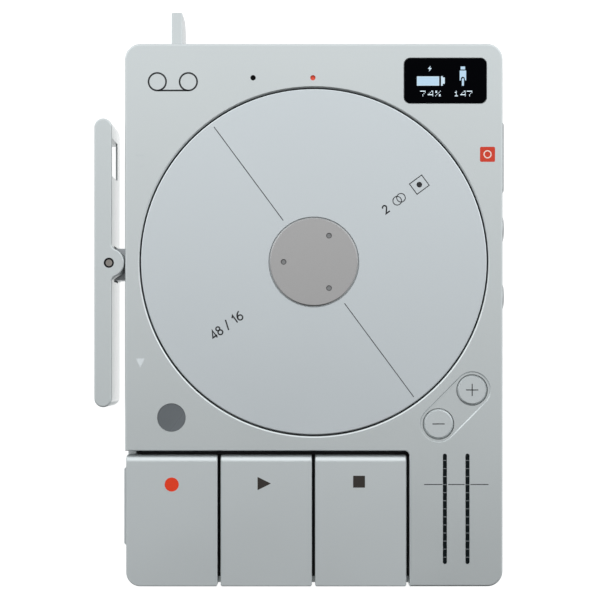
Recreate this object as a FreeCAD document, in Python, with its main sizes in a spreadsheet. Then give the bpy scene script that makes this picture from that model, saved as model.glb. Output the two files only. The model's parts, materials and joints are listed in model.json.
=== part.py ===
"""A pocket field recorder with a motor-driven reel, a side rocker and three transport keys.

The recorder lies on its back. +Z points out of its face, +Y to its head end, where the sockets are,
and the origin is the middle of the back pad, on the table. Lengths are millimetres.
"""
import FreeCAD, Part
import os
import re
import Sketcher
from FreeCAD import Placement, Rotation, Vector

# Numbers are set by hand. Formulas are worked out from them, with the gaps and margins that they name.
SIZES = {
    # case
    "case_width": 66.8, "case_length": 96.0, "case_height": 16.0, "corner_radius": 2.7,
    "case_wall": 1.4, "face_thickness": 1.3, "edge_break": 0.3, "seam_break": 0.2,
    "rim_break": 0.3, "rim_knee": 0.3, "bay_break": 0.15, "glass_break": 0.12,
    "cover_rise": 0.2, "cover_thickness": 1.6, "lip_width": 1.0, "lip_height": 1.2,
    "pad_thickness": 0.7, "pad_margin": 1.5, "pad_radius": 2.0, "fit_gap": 0.1, "run_gap": 0.12,
    "screw_inset": 3.0, "screw_radius": 0.8, "screw_head_radius": 1.5, "screw_head_height": 0.9,
    "screw_length": 5.0, "boss_radius": 2.0, "pad_hole_radius": 1.9,
    # speaker grille in the back
    "grille_from_left": 23.4, "grille_from_foot": 12.5, "grille_pitch": 2.0,
    "grille_hole_radius": 0.5,
    "grille_x": "-case_width / 2 + grille_from_left", "grille_y": "-case_length / 2 + grille_from_foot",
    "speaker_width": 20.0, "speaker_length": 14.0, "speaker_height": 3.4, "speaker_wall": 1.2,
    "cone_radius": 5.2,
    # reel
    "reel_side_margin": 2.84, "reel_foot_margin": 2.84, "reel_head_margin": 8.04,
    "reel_side_room": "case_width - 2 * reel_side_margin",
    "reel_long_room": "case_length - key_bay_length - reel_foot_margin - reel_head_margin",
    "reel_radius": "min(reel_side_room; reel_long_room) / 2",
    "reel_y": "(key_bay_length + reel_foot_margin - reel_head_margin) / 2",
    "reel_gap": 0.24, "reel_thickness": 1.5, "reel_break": 0.15, "reel_slope": 0.08,
    "hub_radius": 7.82, "hub_gap": 0.14, "hub_thickness": 0.7, "hub_rise": 0.2, "hub_break": 0.2,
    "spanner_circle": 10.7, "spanner_hole_radius": 0.5, "spanner_hole_depth": 0.5,
    # reel motor
    "bell_radius": 19.0, "bell_skirt": 0.9, "bell_top": 0.9, "bell_height": 4.0,
    "magnet_width": 1.6, "magnet_height": 2.8, "air_gap": 0.35, "shaft_radius": 1.5,
    "tube_radius": 4.2, "tube_height": 3.4, "base_margin": 9.0, "base_thickness": 1.0,
    "base_radius": "reel_radius - base_margin",
    "base_drop": 0.5, "arm_width": 6.0, "arm_end_radius": 2.3, "motor_boss_radius": 1.6,
    "motor_from_side": 6.4, "motor_from_head": 12.5, "motor_from_bay_side": 1.33,
    "motor_from_bay_head": 4.4,
    "motor_head_x": "case_width / 2 - motor_from_side",
    "motor_head_y": "case_length / 2 - motor_from_head",
    "motor_foot_x": "-case_width / 2 + key_bay_width - motor_from_bay_side",
    "motor_foot_y": "-case_length / 2 + key_bay_length + motor_from_bay_head",
    "motor_screw_length": 2.6, "coil_end_gap": 0.3,
    "tooth_width": 2.6, "tooth_tip_width": 7.6, "tooth_tip_height": 1.3, "core_ring": 2.4,
    "core_height": 2.0, "coil_height": 2.4, "coil_wrap": 0.9,
    "bearing_radius": 3.0, "bearing_width": 1.9, "bearing_ring": 0.45, "ball_gap": 0.02,
    "bearing_bore_gap": 0.03,
    # transport keys
    "control_strip_width": 16.47, "key_bay_width": "case_width - control_strip_width",
    "key_bay_length": 24.0, "key_bay_radius": 0.9, "bay_wall": 1.2,
    "key_gap": 0.57, "key_head_gap": 0.75, "key_inset": 0.2, "key_foot_inset": 0.02,
    "key_height": 4.8, "key_drop": 1.1,
    "key_round": 1.15, "key_skirt": 1.3, "key_top": 1.6,
    "key_corner": 0.35, "key_break": 0.15, "key_pivot_setback": 3.4, "key_pivot_depth": 3.4,
    "key_rod_radius": 0.75, "key_rod_gap": 0.05, "key_rod_bite": 0.8,
    "key_post_width": 3.0, "key_post_length": 3.0, "key_frame_floor": 1.0, "key_frame_drop": 2.1,
    "key_ledge": 1.8, "key_board_thickness": 0.6, "key_switch_reach": 13.6,
    "key_pusher_radius": 1.2, "key_pusher_gap": 0.7,
    "key_spring_radius": 1.5, "key_spring_wire": 0.17, "key_spring_pitch": 0.55,
    "key_spring_turns": 5.25, "key_spring_leg": 4.5, "key_post_rise": 1.35,
    # rocker
    "rocker_width": 3.1, "rocker_length": 51.2, "rocker_shift": 0.12, "rocker_drop": 0.4,
    "rocker_back_gap": 2.0,
    "rocker_depth": "case_height - rocker_drop - rocker_back_gap",
    "rocker_stand_off": 2.4, "rocker_hub_radius": 2.65, "rocker_hub_shift": 0.08, "rocker_pin_inset": 0.5,
    "rocker_ear": 3.5, "rocker_blend": 0.9, "rocker_web": 0.9, "rocker_break": 0.25,
    "pin_radius": 0.58, "pin_gap": 0.05, "pin_well": 0.32, "pin_well_depth": 1.2, "pin_sink": 0.15,
    "eyelet_from_pin": 15.45, "eyelet_length": 6.75, "eyelet_skin": 1.0, "eyelet_height": 9.0,
    "eyelet_bridge": 0.3, "tongue_width": 5.7, "tongue_head_room": 1.9,
    "tongue_height": "rocker_depth - 2 * rocker_ear - tongue_head_room",
    "bracket_flange_width": 12.0, "bracket_flange_reach": 1.45, "bracket_flange_thickness": 1.0,
    "bracket_flange_height": "tongue_height + 2 * bracket_flange_reach",
    "rocker_spring_radius": 1.45, "rocker_spring_wire": 0.15, "rocker_spring_pitch": 0.38,
    "rocker_spring_turns": 3.25, "rocker_spring_leg": 1.0, "eyelet_front": 0.6, "tongue_nose": 1.25,
    "tongue_side_gap": 0.35,
    # volume buttons
    "volume_from_right": 8.37, "volume_from_bay": 7.75,
    "volume_x": "case_width / 2 - volume_from_right",
    "volume_y": "-case_length / 2 + key_bay_length + volume_from_bay",
    "volume_spacing": 8.46, "volume_angle": 45.3,
    "volume_recess_radius": 3.28, "volume_recess_depth": 0.25, "volume_radius": 2.66,
    "volume_rise": 0.2, "volume_flange": 0.5, "volume_flange_thickness": 0.55,
    "button_break": 0.3, "recess_slope": 0.18, "dome_radius": 1.8, "dome_height": 0.25,
    "sign_length": 2.2, "sign_width": 0.18, "sign_depth": 0.08,
    # side controls, all at one height
    "side_height": "case_height / 2", "memo_length": 13.0, "memo_width": 4.4, "side_button_radius": 2.5,
    "memo_from_head": 19.4, "upper_from_head": 32.3, "lower_from_head": 44.5,
    "memo_y": "case_length / 2 - memo_from_head",
    "side_button_upper_y": "case_length / 2 - upper_from_head",
    "side_button_lower_y": "case_length / 2 - lower_from_head",
    "side_rise": 0.97, "side_flange": 0.5, "side_flange_thickness": 0.75, "side_travel": 0.5,
    "memo_corner": 0.9, "side_round": 0.6, "side_board_thickness": 0.8, "side_board_margin": 3.0,
    "switch_side": 3.6, "switch_body_height": 0.9, "switch_cap_radius": 0.9,
    "switch_cap_height": 0.3,
    # hold slider
    "slider_from_foot": 13.5, "slider_y": "-case_length / 2 + slider_from_foot",
    "slider_lip_gap": 0.3, "slider_frame_gap": 0.1, "slider_length": 15.2, "slider_width": 3.4,
    "slider_height": "cover_rise + cover_thickness + lip_height + slider_lip_gap + slider_body_height / 2",
    "slider_rise": 0.9, "slider_ramp": 0.8, "slider_travel": 2.0, "slider_stem": 3.0,
    "slider_stem_depth": 1.0, "slider_body_depth": 1.6,
    "slider_room": "case_height - key_height - key_drop - key_frame_drop - cover_rise - cover_thickness",
    "slider_body_height": "slider_room - lip_height - slider_lip_gap - slider_frame_gap",
    "slider_stem_height": 1.6, "slider_body_wall": 1.0,
    # power lever
    "lever_from_left": 8.98, "lever_x": "-case_width / 2 + lever_from_left", "lever_inset": 3.4,
    "lever_thickness": 1.95, "lever_margin": 3.0, "lever_depth": "case_height - 2 * lever_margin",
    "lever_reach": 6.08, "lever_break": 0.25, "lever_swing": 14.0, "lever_hub_radius": 1.6,
    "lever_pin_radius": 0.6,
    "lever_house_wall": 0.9, "lever_slant": 1.6, "lever_slant_rise": 2.6,
    # sockets in the head end and the foot end
    "line_jack_x": -12.0, "line_jack_pitch": 10.0, "line_jack_bore": 1.8,
    "line_jack_bore_length": 12.5, "line_jack_nose": 2.9, "line_jack_side": 6.2,
    "line_jack_length": 13.6, "main_jack_from_bay": 6.57,
    "main_jack_x": "-case_width / 2 + key_bay_width + main_jack_from_bay", "main_jack_bore": 3.25,
    "main_jack_bore_length": 28.0, "main_jack_nose": 4.4, "main_jack_side": 9.2,
    "main_jack_top_gap": 0.3,
    "main_jack_room": "case_height - face_thickness - control_board_drop - control_board_thickness",
    "main_jack_height": "main_jack_room - main_jack_top_gap - main_jack_side / 2",
    "main_jack_length": 29.6, "usb_from_right": 12.9, "usb_x": "case_width / 2 - usb_from_right",
    "usb_width": 8.94, "usb_height": 3.2,
    "usb_wall": 0.3, "usb_depth": 7.4, "usb_tongue_width": 6.6, "usb_tongue_height": 0.7,
    "io_board_drop": 3.1, "io_board_thickness": 0.8,
    # display
    "display_from_right": 10.15, "display_from_head": 6.55,
    "display_x": "case_width / 2 - display_from_right",
    "display_y": "case_length / 2 - display_from_head",
    "display_width": 14.55, "display_length": 7.94,
    "display_radius": 1.07, "display_ledge": 0.8, "glass_thickness": 0.8, "glass_gap": 0.05,
    "module_thickness": 1.2, "ribbon_thickness": 0.2,
    # level meters
    "meter_pitch": 4.0, "meter_middle_x": "key_bay_width / 2 + meter_shift", "meter_shift": 0.005,
    "meter_left_x": "meter_middle_x - meter_pitch / 2",
    "meter_right_x": "meter_middle_x + meter_pitch / 2",
    "meter_head_inset": 0.49, "meter_head_y": "-case_length / 2 + key_bay_length - meter_head_inset",
    "meter_length": 19.54, "meter_width": 0.72, "meter_end_cell": 1.22, "meter_cell_groove": 0.14,
    "meter_groove_depth": 0.2, "meter_sink": 0.05, "meter_gap": 0.03,
    "control_board_drop": 1.2, "control_board_thickness": 0.6, "led_height": 0.4,
    "control_margin": 0.8,
    # face details
    "mic_x": -10.75, "holes_from_head": 6.03, "face_hole_y": "case_length / 2 - holes_from_head",
    "mic_hole_radius": 0.48, "mic_side": 3.0, "mic_height": 1.0, "light_x": -0.17,
    "light_radius": 0.42, "light_sink": 0.5, "window_from_left": 8.21, "window_from_bay": 5.89,
    "window_x": "-case_width / 2 + window_from_left",
    "window_y": "-case_length / 2 + key_bay_length + window_from_bay",
    "window_radius": 2.52, "window_sink": 0.08, "window_gap": 0.04,
    "window_flange": 0.5, "window_flange_thickness": 0.4,
    "sensor_board_drop": 1.5, "sensor_board_thickness": 0.6,
    # boards and battery
    "board_head_room": 0.6, "board_thickness": 0.8,
    "board_room": "case_height - reel_thickness - bell_height - base_drop - base_thickness",
    "board_level": "board_room - board_head_room - chip_height - board_thickness",
    "board_from_left": 4.4,
    "board_left": "-case_width / 2 + board_from_left", "board_jack_gap": 2.2, "board_socket_gap": 1.0,
    "board_foot": "-case_length / 2 + main_jack_length + board_jack_gap",
    "board_head": "case_length / 2 - line_jack_length - board_socket_gap",
    "pillar_radius": 1.3, "pillar_inset": 2.0,
    "processor_side": 9.0, "memory_side": 6.0, "chip_height": 1.0, "link_depth": 1.5, "link_width": 10.0,
    "battery_from_left": 8.4, "battery_from_right": 12.4, "battery_head_gap": 2.0,
    "battery_foot_gap": 1.6, "battery_top_gap": 0.6,
    "battery_thickness": "board_level - battery_top_gap - cover_rise - cover_thickness",
    "battery_width": "case_width - battery_from_left - battery_from_right",
    "battery_x": "(battery_from_left - battery_from_right) / 2",
    "battery_length": "board_head - board_foot - battery_head_gap - battery_foot_gap",
    "battery_y": "(board_head - battery_head_gap + board_foot + battery_foot_gap) / 2",
    # small screws
    "small_screw_radius": 0.5, "small_head_radius": 0.95, "small_head_height": 0.4,
    "drive_share": 0.45,
}
METER_CELLS = 14
KEYS = ("record_key", "play_key", "stop_key")
STATOR_TEETH = 9
BEARING_BALLS = 7
GRILLE_COLUMNS = 9
GRILLE_ROWS = 6
SPANNER_HOLES = 3

# planes and edges of the case
LEFT, RIGHT = "(-case_width / 2)", "(case_width / 2)"
FOOT, HEAD = "(-case_length / 2)", "(case_length / 2)"
INNER_LEFT, INNER_RIGHT = "(-case_width / 2 + case_wall)", "(case_width / 2 - case_wall)"
INNER_FOOT, INNER_HEAD = "(-case_length / 2 + case_wall)", "(case_length / 2 - case_wall)"
FACE = "case_height"
CEILING = "(case_height - face_thickness)"
FLOOR = "(cover_rise + cover_thickness)"
BAY_RIGHT = f"({LEFT} + key_bay_width)"
BAY_HEAD = f"({FOOT} + key_bay_length)"
KEY_BOTTOM = "(case_height - key_height)"
SILL = "(case_height - key_height - key_drop)"
FRAME_TOP = f"({SILL} - key_frame_drop + key_frame_floor)"
FRAME_BOTTOM = f"({SILL} - key_frame_drop)"
BELL_TOP = "(case_height - reel_thickness)"
BASE_TOP = f"({BELL_TOP} - bell_height - base_drop)"
BASE_BOTTOM = f"({BASE_TOP} - base_thickness)"
BOARD_TOP = "(board_level + board_thickness)"
IO_BOARD_TOP = "(side_height - io_board_drop)"
CONTROL_TOP = f"({CEILING} - control_board_drop)"
SENSOR_TOP = f"({CEILING} - sensor_board_drop)"
KEY_WIDTH = "((key_bay_width - key_inset - 3 * key_gap) / 3)"
KEY_HEAD = f"({BAY_HEAD} - key_head_gap)"
PIVOT_Y = f"({KEY_HEAD} - key_pivot_setback)"
PIVOT_Z = "(case_height - key_pivot_depth)"
ROCKER_INNER = f"({LEFT} - rocker_stand_off)"
ROCKER_OUTER = f"({LEFT} - rocker_stand_off - rocker_width)"
ROCKER_FRONT = "(case_height - rocker_drop)"
ROCKER_BACK = "(case_height - rocker_drop - rocker_depth)"
ROCKER_Y = "(reel_y - rocker_shift)"
PIN_X = f"({ROCKER_INNER} - rocker_pin_inset)"
TONGUE_BOTTOM = f"({ROCKER_BACK} + rocker_ear + fit_gap)"
TONGUE_TOP = f"({TONGUE_BOTTOM} + tongue_height)"
SLIDER_Y = "slider_y"
SLIDER_SLOT_Y = (f"{SLIDER_Y} - slider_stem / 2 - run_gap",
                 f"{SLIDER_Y} + slider_stem / 2 + slider_travel + run_gap")
SLIDER_SLOT_Z = ("slider_height - slider_stem_height / 2 - run_gap",
                 "slider_height + slider_stem_height / 2 + run_gap")
LEVER_Y = f"({HEAD} - lever_inset)"
LEVER_SLOT_RIGHT = ("(lever_x + lever_thickness / 2 / cos(lever_swing)"
                    " + lever_inset * tan(lever_swing) + run_gap)")
LEVER_HOUSE_X = ("lever_x - lever_hub_radius - run_gap - lever_house_wall",
                 f"{LEVER_SLOT_RIGHT} + lever_house_wall")
LEVER_HOUSE_FOOT = f"({LEVER_Y} - lever_hub_radius - run_gap - lever_house_wall)"
STATOR_RADIUS = "(bell_radius - bell_skirt - magnet_width - air_gap)"
STATOR_MIDDLE = f"({BELL_TOP} - bell_top - magnet_height / 2)"
TUBE_TOP = f"({BASE_TOP} + tube_height)"
MOTOR_SCREW_TIP = f"({BASE_BOTTOM} + motor_screw_length)"
SCREW_SEAT = "(cover_rise + screw_head_height)"
SCREW_TIP = f"({SCREW_SEAT} + screw_length)"
USB_MIDDLE = f"({IO_BOARD_TOP} + usb_height / 2)"
METER_MIDDLE = "(meter_head_y - meter_length / 2)"
METER_STEP = f"(meter_length - 2 * meter_end_cell) / {METER_CELLS - 2}"
SWITCH_Y = f"({PIVOT_Y} - key_switch_reach)"
KEY_SWITCH_TOP = f"({FRAME_TOP} + key_board_thickness + switch_body_height + switch_cap_height)"
SIDE_BOARD_INNER = ("(case_width / 2 - case_wall - run_gap - side_flange_thickness - side_travel"
                    " - glass_gap - switch_cap_height - switch_body_height - side_board_thickness)")
PAD_X = (f"{LEFT} + pad_margin", f"{RIGHT} - pad_margin")
PAD_Y = (f"{FOOT} + pad_margin", f"{HEAD} - pad_margin")
SCREW_PLACES = [(x, y) for x in (f"{LEFT} + screw_inset", f"{RIGHT} - screw_inset")
                for y in (f"{FOOT} + screw_inset", f"{HEAD} - screw_inset")]
MOTOR_PLACES = [(f"{side}motor_{end}_x", f"motor_{end}_y") for side in ("-", "") for end in ("head", "foot")]
PILLAR_PLACES = [(x, y) for x in ("board_left + pillar_inset", f"{SIDE_BOARD_INNER} - pillar_inset")
                 for y in ("board_foot + pillar_inset", "board_head - pillar_inset")]
VOLUME_PLACES = [(f"volume_x {sign} volume_spacing / 2 * cos(volume_angle)",
                  f"volume_y {sign} volume_spacing / 2 * sin(volume_angle)") for sign in "-+"]
CONTROL_HEAD = "(volume_y + volume_spacing / 2 * sin(volume_angle) + volume_radius + control_margin)"
WORD = re.compile(r"[a-z_]+")
AXES = {"x": Rotation(Vector(0, 1, 0), 90), "y": Rotation(Vector(1, 0, 0), -90), "z": Rotation()}
TOUCH = 0.001
START_ARM = Vector(10, 0, 0)
START_TURN = 0.1

DOC = FreeCAD.newDocument("FieldRecorder")
SHEET = DOC.addObject("Spreadsheet::Sheet", "Sizes")
NODES = []


def fill_sheet():
    """One row for each size: its name, and its value or formula in a cell that the name stands for."""
    for row, name in enumerate(SIZES, start=1):
        SHEET.set(f"A{row}", name)
        SHEET.setAlias(f"B{row}", name)
    for row, size in enumerate(SIZES.values(), start=1):
        SHEET.set(f"B{row}", f"={size}" if isinstance(size, str) else str(size))
    DOC.recompute()


def spelled(expression):
    """An expression in size names, as the document reads it."""
    return WORD.sub(lambda word: f"Sizes.{word[0]}" if word[0] in SIZES else word[0], str(expression))


def bind(item, expressions):
    for path, expression in expressions.items():
        item.setExpression(path, spelled(expression))
    return item


def place(item, x, y, z, turn=Rotation()):
    item.Placement = Placement(Vector(), turn)
    return bind(item, {"Placement.Base.x": x, "Placement.Base.y": y, "Placement.Base.z": z})


def keep(item):
    """Counts an object as a sub-part, under its own label."""
    NODES.append(item)
    return item


def around(middle, size):
    """The span of a size about its middle."""
    return (f"({middle}) - ({size}) / 2", f"({middle}) + ({size}) / 2")


def block(name, x, y, z):
    """A box between two planes on each axis."""
    item = DOC.addObject("Part::Box", name)
    sides = {side: f"({high}) - ({low})"
             for side, (low, high) in zip(("Length", "Width", "Height"), (x, y, z))}
    bind(item, sides)
    return place(item, x[0], y[0], z[0])


def rod(name, axis, at, span, radius):
    """A cylinder between two planes on its axis."""
    item = DOC.addObject("Part::Cylinder", name)
    bind(item, {"Radius": radius, "Height": f"({span[1]}) - ({span[0]})"})
    start = list(at)
    start["xyz".index(axis)] = span[0]
    return place(item, *start, AXES[axis])


def ball(name, x, y, z, radius):
    item = DOC.addObject("Part::Sphere", name)
    bind(item, {"Radius": radius})
    return place(item, x, y, z)


def join(name, *pieces):
    item = DOC.addObject("Part::MultiFuse", name)
    item.Shapes = list(pieces)
    item.Refine = True
    return item


def cut(name, base, *tools):
    item = DOC.addObject("Part::Cut", name)
    item.Base = base
    item.Tool = tools[0] if len(tools) == 1 else join(f"{name}_tools", *tools)
    item.Refine = True
    return item


def group(name, *pieces):
    """Alike pieces that share one sub-part, as separate solids."""
    item = DOC.addObject("Part::Compound", name)
    item.Links = list(pieces)
    return item


def pill(name, axis, along, at, span, length, width):
    """A full-round slot or bar, cut along one axis and long along another."""
    side = "xyz".index(along)
    reach = f"(({length}) - ({width})) / 2"
    ends = []
    for sign in "-+":
        spot = list(at)
        spot[side] = f"({at[side]}) {sign} {reach}"
        ends.append(rod(f"{name}_end", axis, spot, span, f"({width}) / 2"))
    spans = {axis: span, along: around(at[side], f"({length}) - ({width})")}
    for letter, middle in zip("xyz", at):
        spans.setdefault(letter, around(middle, width))
    return join(name, block(f"{name}_middle", spans["x"], spans["y"], spans["z"]), *ends)


def outline(body, name, plane, points, offset="0"):
    """A closed sketch of straight lines, each corner held by its two distances from the origin."""
    sketch = body.newObject("Sketcher::SketchObject", name)
    support = [item for item in body.Origin.OriginFeatures if item.Role == plane][0]
    sketch.AttachmentSupport = [(support, "")]
    sketch.MapMode = "FlatFace"
    bind(sketch, {"AttachmentOffset.Base.z": offset})
    count = len(points)
    ring = [Rotation(Vector(0, 0, 1), 360 * (corner + START_TURN) / count).multVec(START_ARM)
            for corner in range(count)]
    lines = [Part.LineSegment(ring[corner], ring[(corner + 1) % count]) for corner in range(count)]
    sketch.addGeometry(lines, False)
    rules = [Sketcher.Constraint("Coincident", corner, 2, (corner + 1) % count, 1)
             for corner in range(count)]
    for corner, spot in enumerate(ring):
        rules.append(Sketcher.Constraint("DistanceX", -1, 1, corner, 1, spot.x))
        rules.append(Sketcher.Constraint("DistanceY", -1, 1, corner, 1, spot.y))
    sketch.addConstraint(rules)
    for corner, (across, up) in enumerate(points):
        first = count + 2 * corner
        bind(sketch, {f"Constraints[{first}]": across, f"Constraints[{first + 1}]": up})
    return sketch


def padded_body(name, plane, points, span):
    """A straight-sided body: an outline in a plane, padded between two distances from it."""
    body = DOC.addObject("PartDesign::Body", name)
    low, high = span
    offset = f"-({low})" if plane == "XZ_Plane" else low
    sketch = outline(body, f"{name}_outline", plane, points, offset)
    pad = body.newObject("PartDesign::Pad", f"{name}_pad")
    pad.Profile = sketch
    pad.Reversed = plane == "XZ_Plane"
    bind(pad, {"Length": f"({high}) - ({low})"})
    return body


def turned(name, points, at, axis="z", tilt=Rotation()):
    """A lathe-turned body: points of radius and height, revolved and stood on its axis."""
    body = DOC.addObject("PartDesign::Body", name)
    sketch = outline(body, f"{name}_outline", "XZ_Plane", points)
    spin = body.newObject("PartDesign::Revolution", f"{name}_spin")
    spin.Profile = sketch
    spin.ReferenceAxis = (sketch, ["V_Axis"])
    spin.Angle = 360
    return place(body, *at, tilt.multiply(AXES[axis]))


def soften(body, kind, test, size):
    """Rounds or bevels the edges of a body that pass a test, by a bound size."""
    DOC.recompute()
    tip = body.Tip
    box = tip.Shape.BoundBox
    edges = enumerate(tip.Shape.Edges, start=1)
    names = [f"Edge{number}" for number, edge in edges if test(edge, box)]
    feature = body.newObject(f"PartDesign::{kind}", f"{body.Name}_{kind.lower()}")
    feature.Base = (tip, names)
    bind(feature, {"Radius" if kind == "Fillet" else "Size": size})
    return feature


def level(edge, height):
    """Whether an edge lies in a level plane."""
    return abs(edge.BoundBox.ZMin - height) < TOUCH and abs(edge.BoundBox.ZMax - height) < TOUCH


def upright(edge, box):
    """Whether an edge stands straight up through the whole body."""
    full_height = abs(edge.BoundBox.ZLength - box.ZLength) < TOUCH
    return full_height and edge.BoundBox.DiagonalLength < box.ZLength + TOUCH


def upright_left(edge, box):
    return upright(edge, box) and edge.BoundBox.XMax < box.XMin + TOUCH


def upright_foot(edge, box):
    return upright(edge, box) and edge.BoundBox.YMax < box.YMin + TOUCH


def upright_foot_left(edge, box):
    return upright_left(edge, box) and upright_foot(edge, box)


def upright_head_right(edge, box):
    corner = edge.BoundBox
    return upright(edge, box) and corner.XMin > box.XMax - TOUCH and corner.YMin > box.YMax - TOUCH


def on_top(edge, box):
    return level(edge, box.ZMax)


def on_bottom(edge, box):
    return level(edge, box.ZMin)


def on_top_or_bottom(edge, box):
    return on_top(edge, box) or on_bottom(edge, box)


def top_head(edge, box):
    """Whether an edge is the one that the top shares with the head end."""
    return on_top(edge, box) and edge.BoundBox.YMin > box.YMax - TOUCH


def top_rim(edge, box):
    """Whether an edge bounds the top, apart from the line where the head end's round begins."""
    span = edge.BoundBox
    across = span.YLength < TOUCH and span.YMin > box.Center.y
    return on_top(edge, box) and not across


def blade_side(edge, box):
    """Whether an edge of an upright blade lies in one of its two sides, away from its root."""
    return edge.BoundBox.XLength < TOUCH and edge.BoundBox.YMax > box.YMin + TOUCH


def hub_corner(edge, box):
    """Whether an edge is one of the two upright ones where the rocker's hub leaves its bar."""
    inside = edge.BoundBox.XMin > box.XMin + TOUCH and edge.BoundBox.XMax < box.XMax - TOUCH
    return upright(edge, box) and inside and abs(edge.BoundBox.Center.y - box.Center.y) < box.XLength


def round_edges(name, base, test, size):
    """Rounds the edges of a joined solid that pass a test."""
    DOC.recompute()
    box = base.Shape.BoundBox
    edges = enumerate(base.Shape.Edges, start=1)
    item = DOC.addObject("Part::Fillet", name)
    item.Base = base
    item.Edges = [(number, size, size) for number, edge in edges if test(edge, box)]
    return item


def rectangle(x, y):
    return [(x[0], y[0]), (x[1], y[0]), (x[1], y[1]), (x[0], y[1])]


def rounded_block(name, x, y, z, radius):
    """A block with rounded upright edges."""
    body = padded_body(name, "XY_Plane", rectangle(x, y), z)
    soften(body, "Fillet", upright, radius)
    return body


def ring_points(inner, outer, low, high):
    return [(inner, low), (outer, low), (outer, high), (inner, high)]


def screws(name, places, top, length, radius, head_radius, head_height, pointing_down):
    """Round-head screws. The head's underside is at the top height, and the shank goes into the seat."""
    pieces = []
    for x, y in places:
        if pointing_down:
            shank = (f"{top} - {length}", top)
            head = (top, f"{top} + {head_height}")
        else:
            shank = (top, f"{top} + {length}")
            head = (f"{top} - {head_height}", top)
        body = join(f"{name}_blank", rod(f"{name}_shank", "z", (x, y, None), shank, radius),
                    rod(f"{name}_head", "z", (x, y, None), head, head_radius))
        near = head[1] if pointing_down else head[0]
        far = f"{near} {'-' if pointing_down else '+'} {head_height} / 2"
        drive = (far, near) if pointing_down else (near, far)
        recess = rod(f"{name}_drive", "z", (x, y, None), drive, f"{head_radius} * drive_share")
        pieces.append(cut(f"{name}_one", body, recess))
    return group(name, *pieces)


def case_blank():
    """The outside of the deep shell, with its corners and its face rounded and its seam broken."""
    blank = padded_body("case_blank", "XY_Plane", rectangle((LEFT, RIGHT), (FOOT, HEAD)), (FLOOR, FACE))
    soften(blank, "Fillet", upright, "corner_radius")
    soften(blank, "Fillet", on_top, "edge_break")
    soften(blank, "Chamfer", on_bottom, "seam_break")
    return blank


def case_posts():
    """Walls of the key bay, corner bosses for the case screws and bosses that the reel motor hangs on."""
    posts = [
        block("bay_side_wall", (BAY_RIGHT, f"{BAY_RIGHT} + bay_wall"),
              (INNER_FOOT, f"{BAY_HEAD} + bay_wall"), (FRAME_TOP, CEILING)),
        block("bay_head_wall", (INNER_LEFT, f"{BAY_RIGHT} + bay_wall"),
              (BAY_HEAD, f"{BAY_HEAD} + bay_wall"), (FRAME_TOP, CEILING)),
    ]
    for x, y in SCREW_PLACES:
        boss = rod("case_boss", "z", (x, y, None), (FLOOR, f"{FRAME_BOTTOM} - fit_gap"), "boss_radius")
        posts.append(boss)
    for x, y in MOTOR_PLACES:
        posts.append(rod("motor_boss", "z", (x, y, None), (BASE_TOP, CEILING), "motor_boss_radius"))
    return posts


def rim(name, x, y, corners, radius, size):
    """A shallow tray with sloping walls, which breaks the edge of an opening in the face."""
    outline = rectangle((f"{x[0]} - {size}", f"{x[1]} + {size}"), (f"{y[0]} - {size}", f"{y[1]} + {size}"))
    tray = padded_body(name, "XY_Plane", outline, (f"{FACE} - {size}", f"{FACE} + fit_gap"))
    soften(tray, "Fillet", corners, f"{radius} + {size}")
    soften(tray, "Chamfer", on_bottom, size)
    return tray


def face_openings():
    """Everything cut down through the face."""
    through = (f"{CEILING} - fit_gap", f"{FACE} + fit_gap")
    bay_span = ((f"{LEFT} - fit_gap", BAY_RIGHT), (f"{FOOT} - fit_gap", BAY_HEAD))
    bay = padded_body("bay_opening", "XY_Plane", rectangle(*bay_span), (SILL, f"{FACE} + fit_gap"))
    soften(bay, "Fillet", upright_head_right, "key_bay_radius")
    bay_rim = rim("bay_rim", *bay_span, upright_head_right, "key_bay_radius", "bay_break")
    opening = "reel_radius + reel_gap"
    reel = rod("reel_opening", "z", ("0", "reel_y", None), through, opening)
    knee = (f"{opening} + rim_break * rim_knee", "-rim_break * rim_knee")
    past_rim = f"{opening} + rim_break + fit_gap * (1 - rim_knee) / rim_knee"
    cones = [("0", "-rim_break"), (opening, "-rim_break"), knee, (past_rim, "fit_gap"), ("0", "fit_gap")]
    reel_rim = turned("reel_rim", cones, ("0", "reel_y", FACE))
    display = (around("display_x", "display_width"), around("display_y", "display_length"))
    seat = rounded_block("glass_seat", *display, (f"{FACE} - glass_thickness", f"{FACE} + fit_gap"),
                         "display_radius")
    glass_rim = rim("glass_rim", *display, upright, "display_radius", "glass_break")
    view = block("display_view", around("display_x", "display_width - 2 * display_ledge"),
                 around("display_y", "display_length - 2 * display_ledge"), through)
    volume = [rod("volume_hole", "z", (*spot, None), through, "volume_radius + run_gap")
              for spot in VOLUME_PLACES]
    meters = [pill("meter_slot", "z", "y", (x, METER_MIDDLE, None), through, "meter_length", "meter_width")
              for x in ("meter_left_x", "meter_right_x")]
    small = [
        rod("mic_hole", "z", ("mic_x", "face_hole_y", None), through, "mic_hole_radius"),
        rod("light_hole", "z", ("light_x", "face_hole_y", None), through, "light_radius + glass_gap"),
        rod("window_hole", "z", ("window_x", "window_y", None), through, "window_radius"),
    ]
    return [bay, bay_rim, reel, reel_rim, seat, glass_rim, view, volume_recess(), *volume, *meters, *small]


def volume_recess():
    """The shallow recess round the two volume buttons, with round ends and a sloping wall."""
    reach = "(volume_spacing / 2 + volume_recess_radius)"
    recess = rounded_block("volume_recess", (f"-{reach}", reach),
                           ("-volume_recess_radius", "volume_recess_radius"),
                           ("-volume_recess_depth", "fit_gap"), "volume_recess_radius * 0.98")
    soften(recess, "Chamfer", on_bottom, "recess_slope")
    place(recess, "volume_x", "volume_y", FACE, Rotation(Vector(0, 0, 1), SHEET.volume_angle))
    return bind(recess, {"Placement.Rotation.Angle": "volume_angle"})


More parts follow.
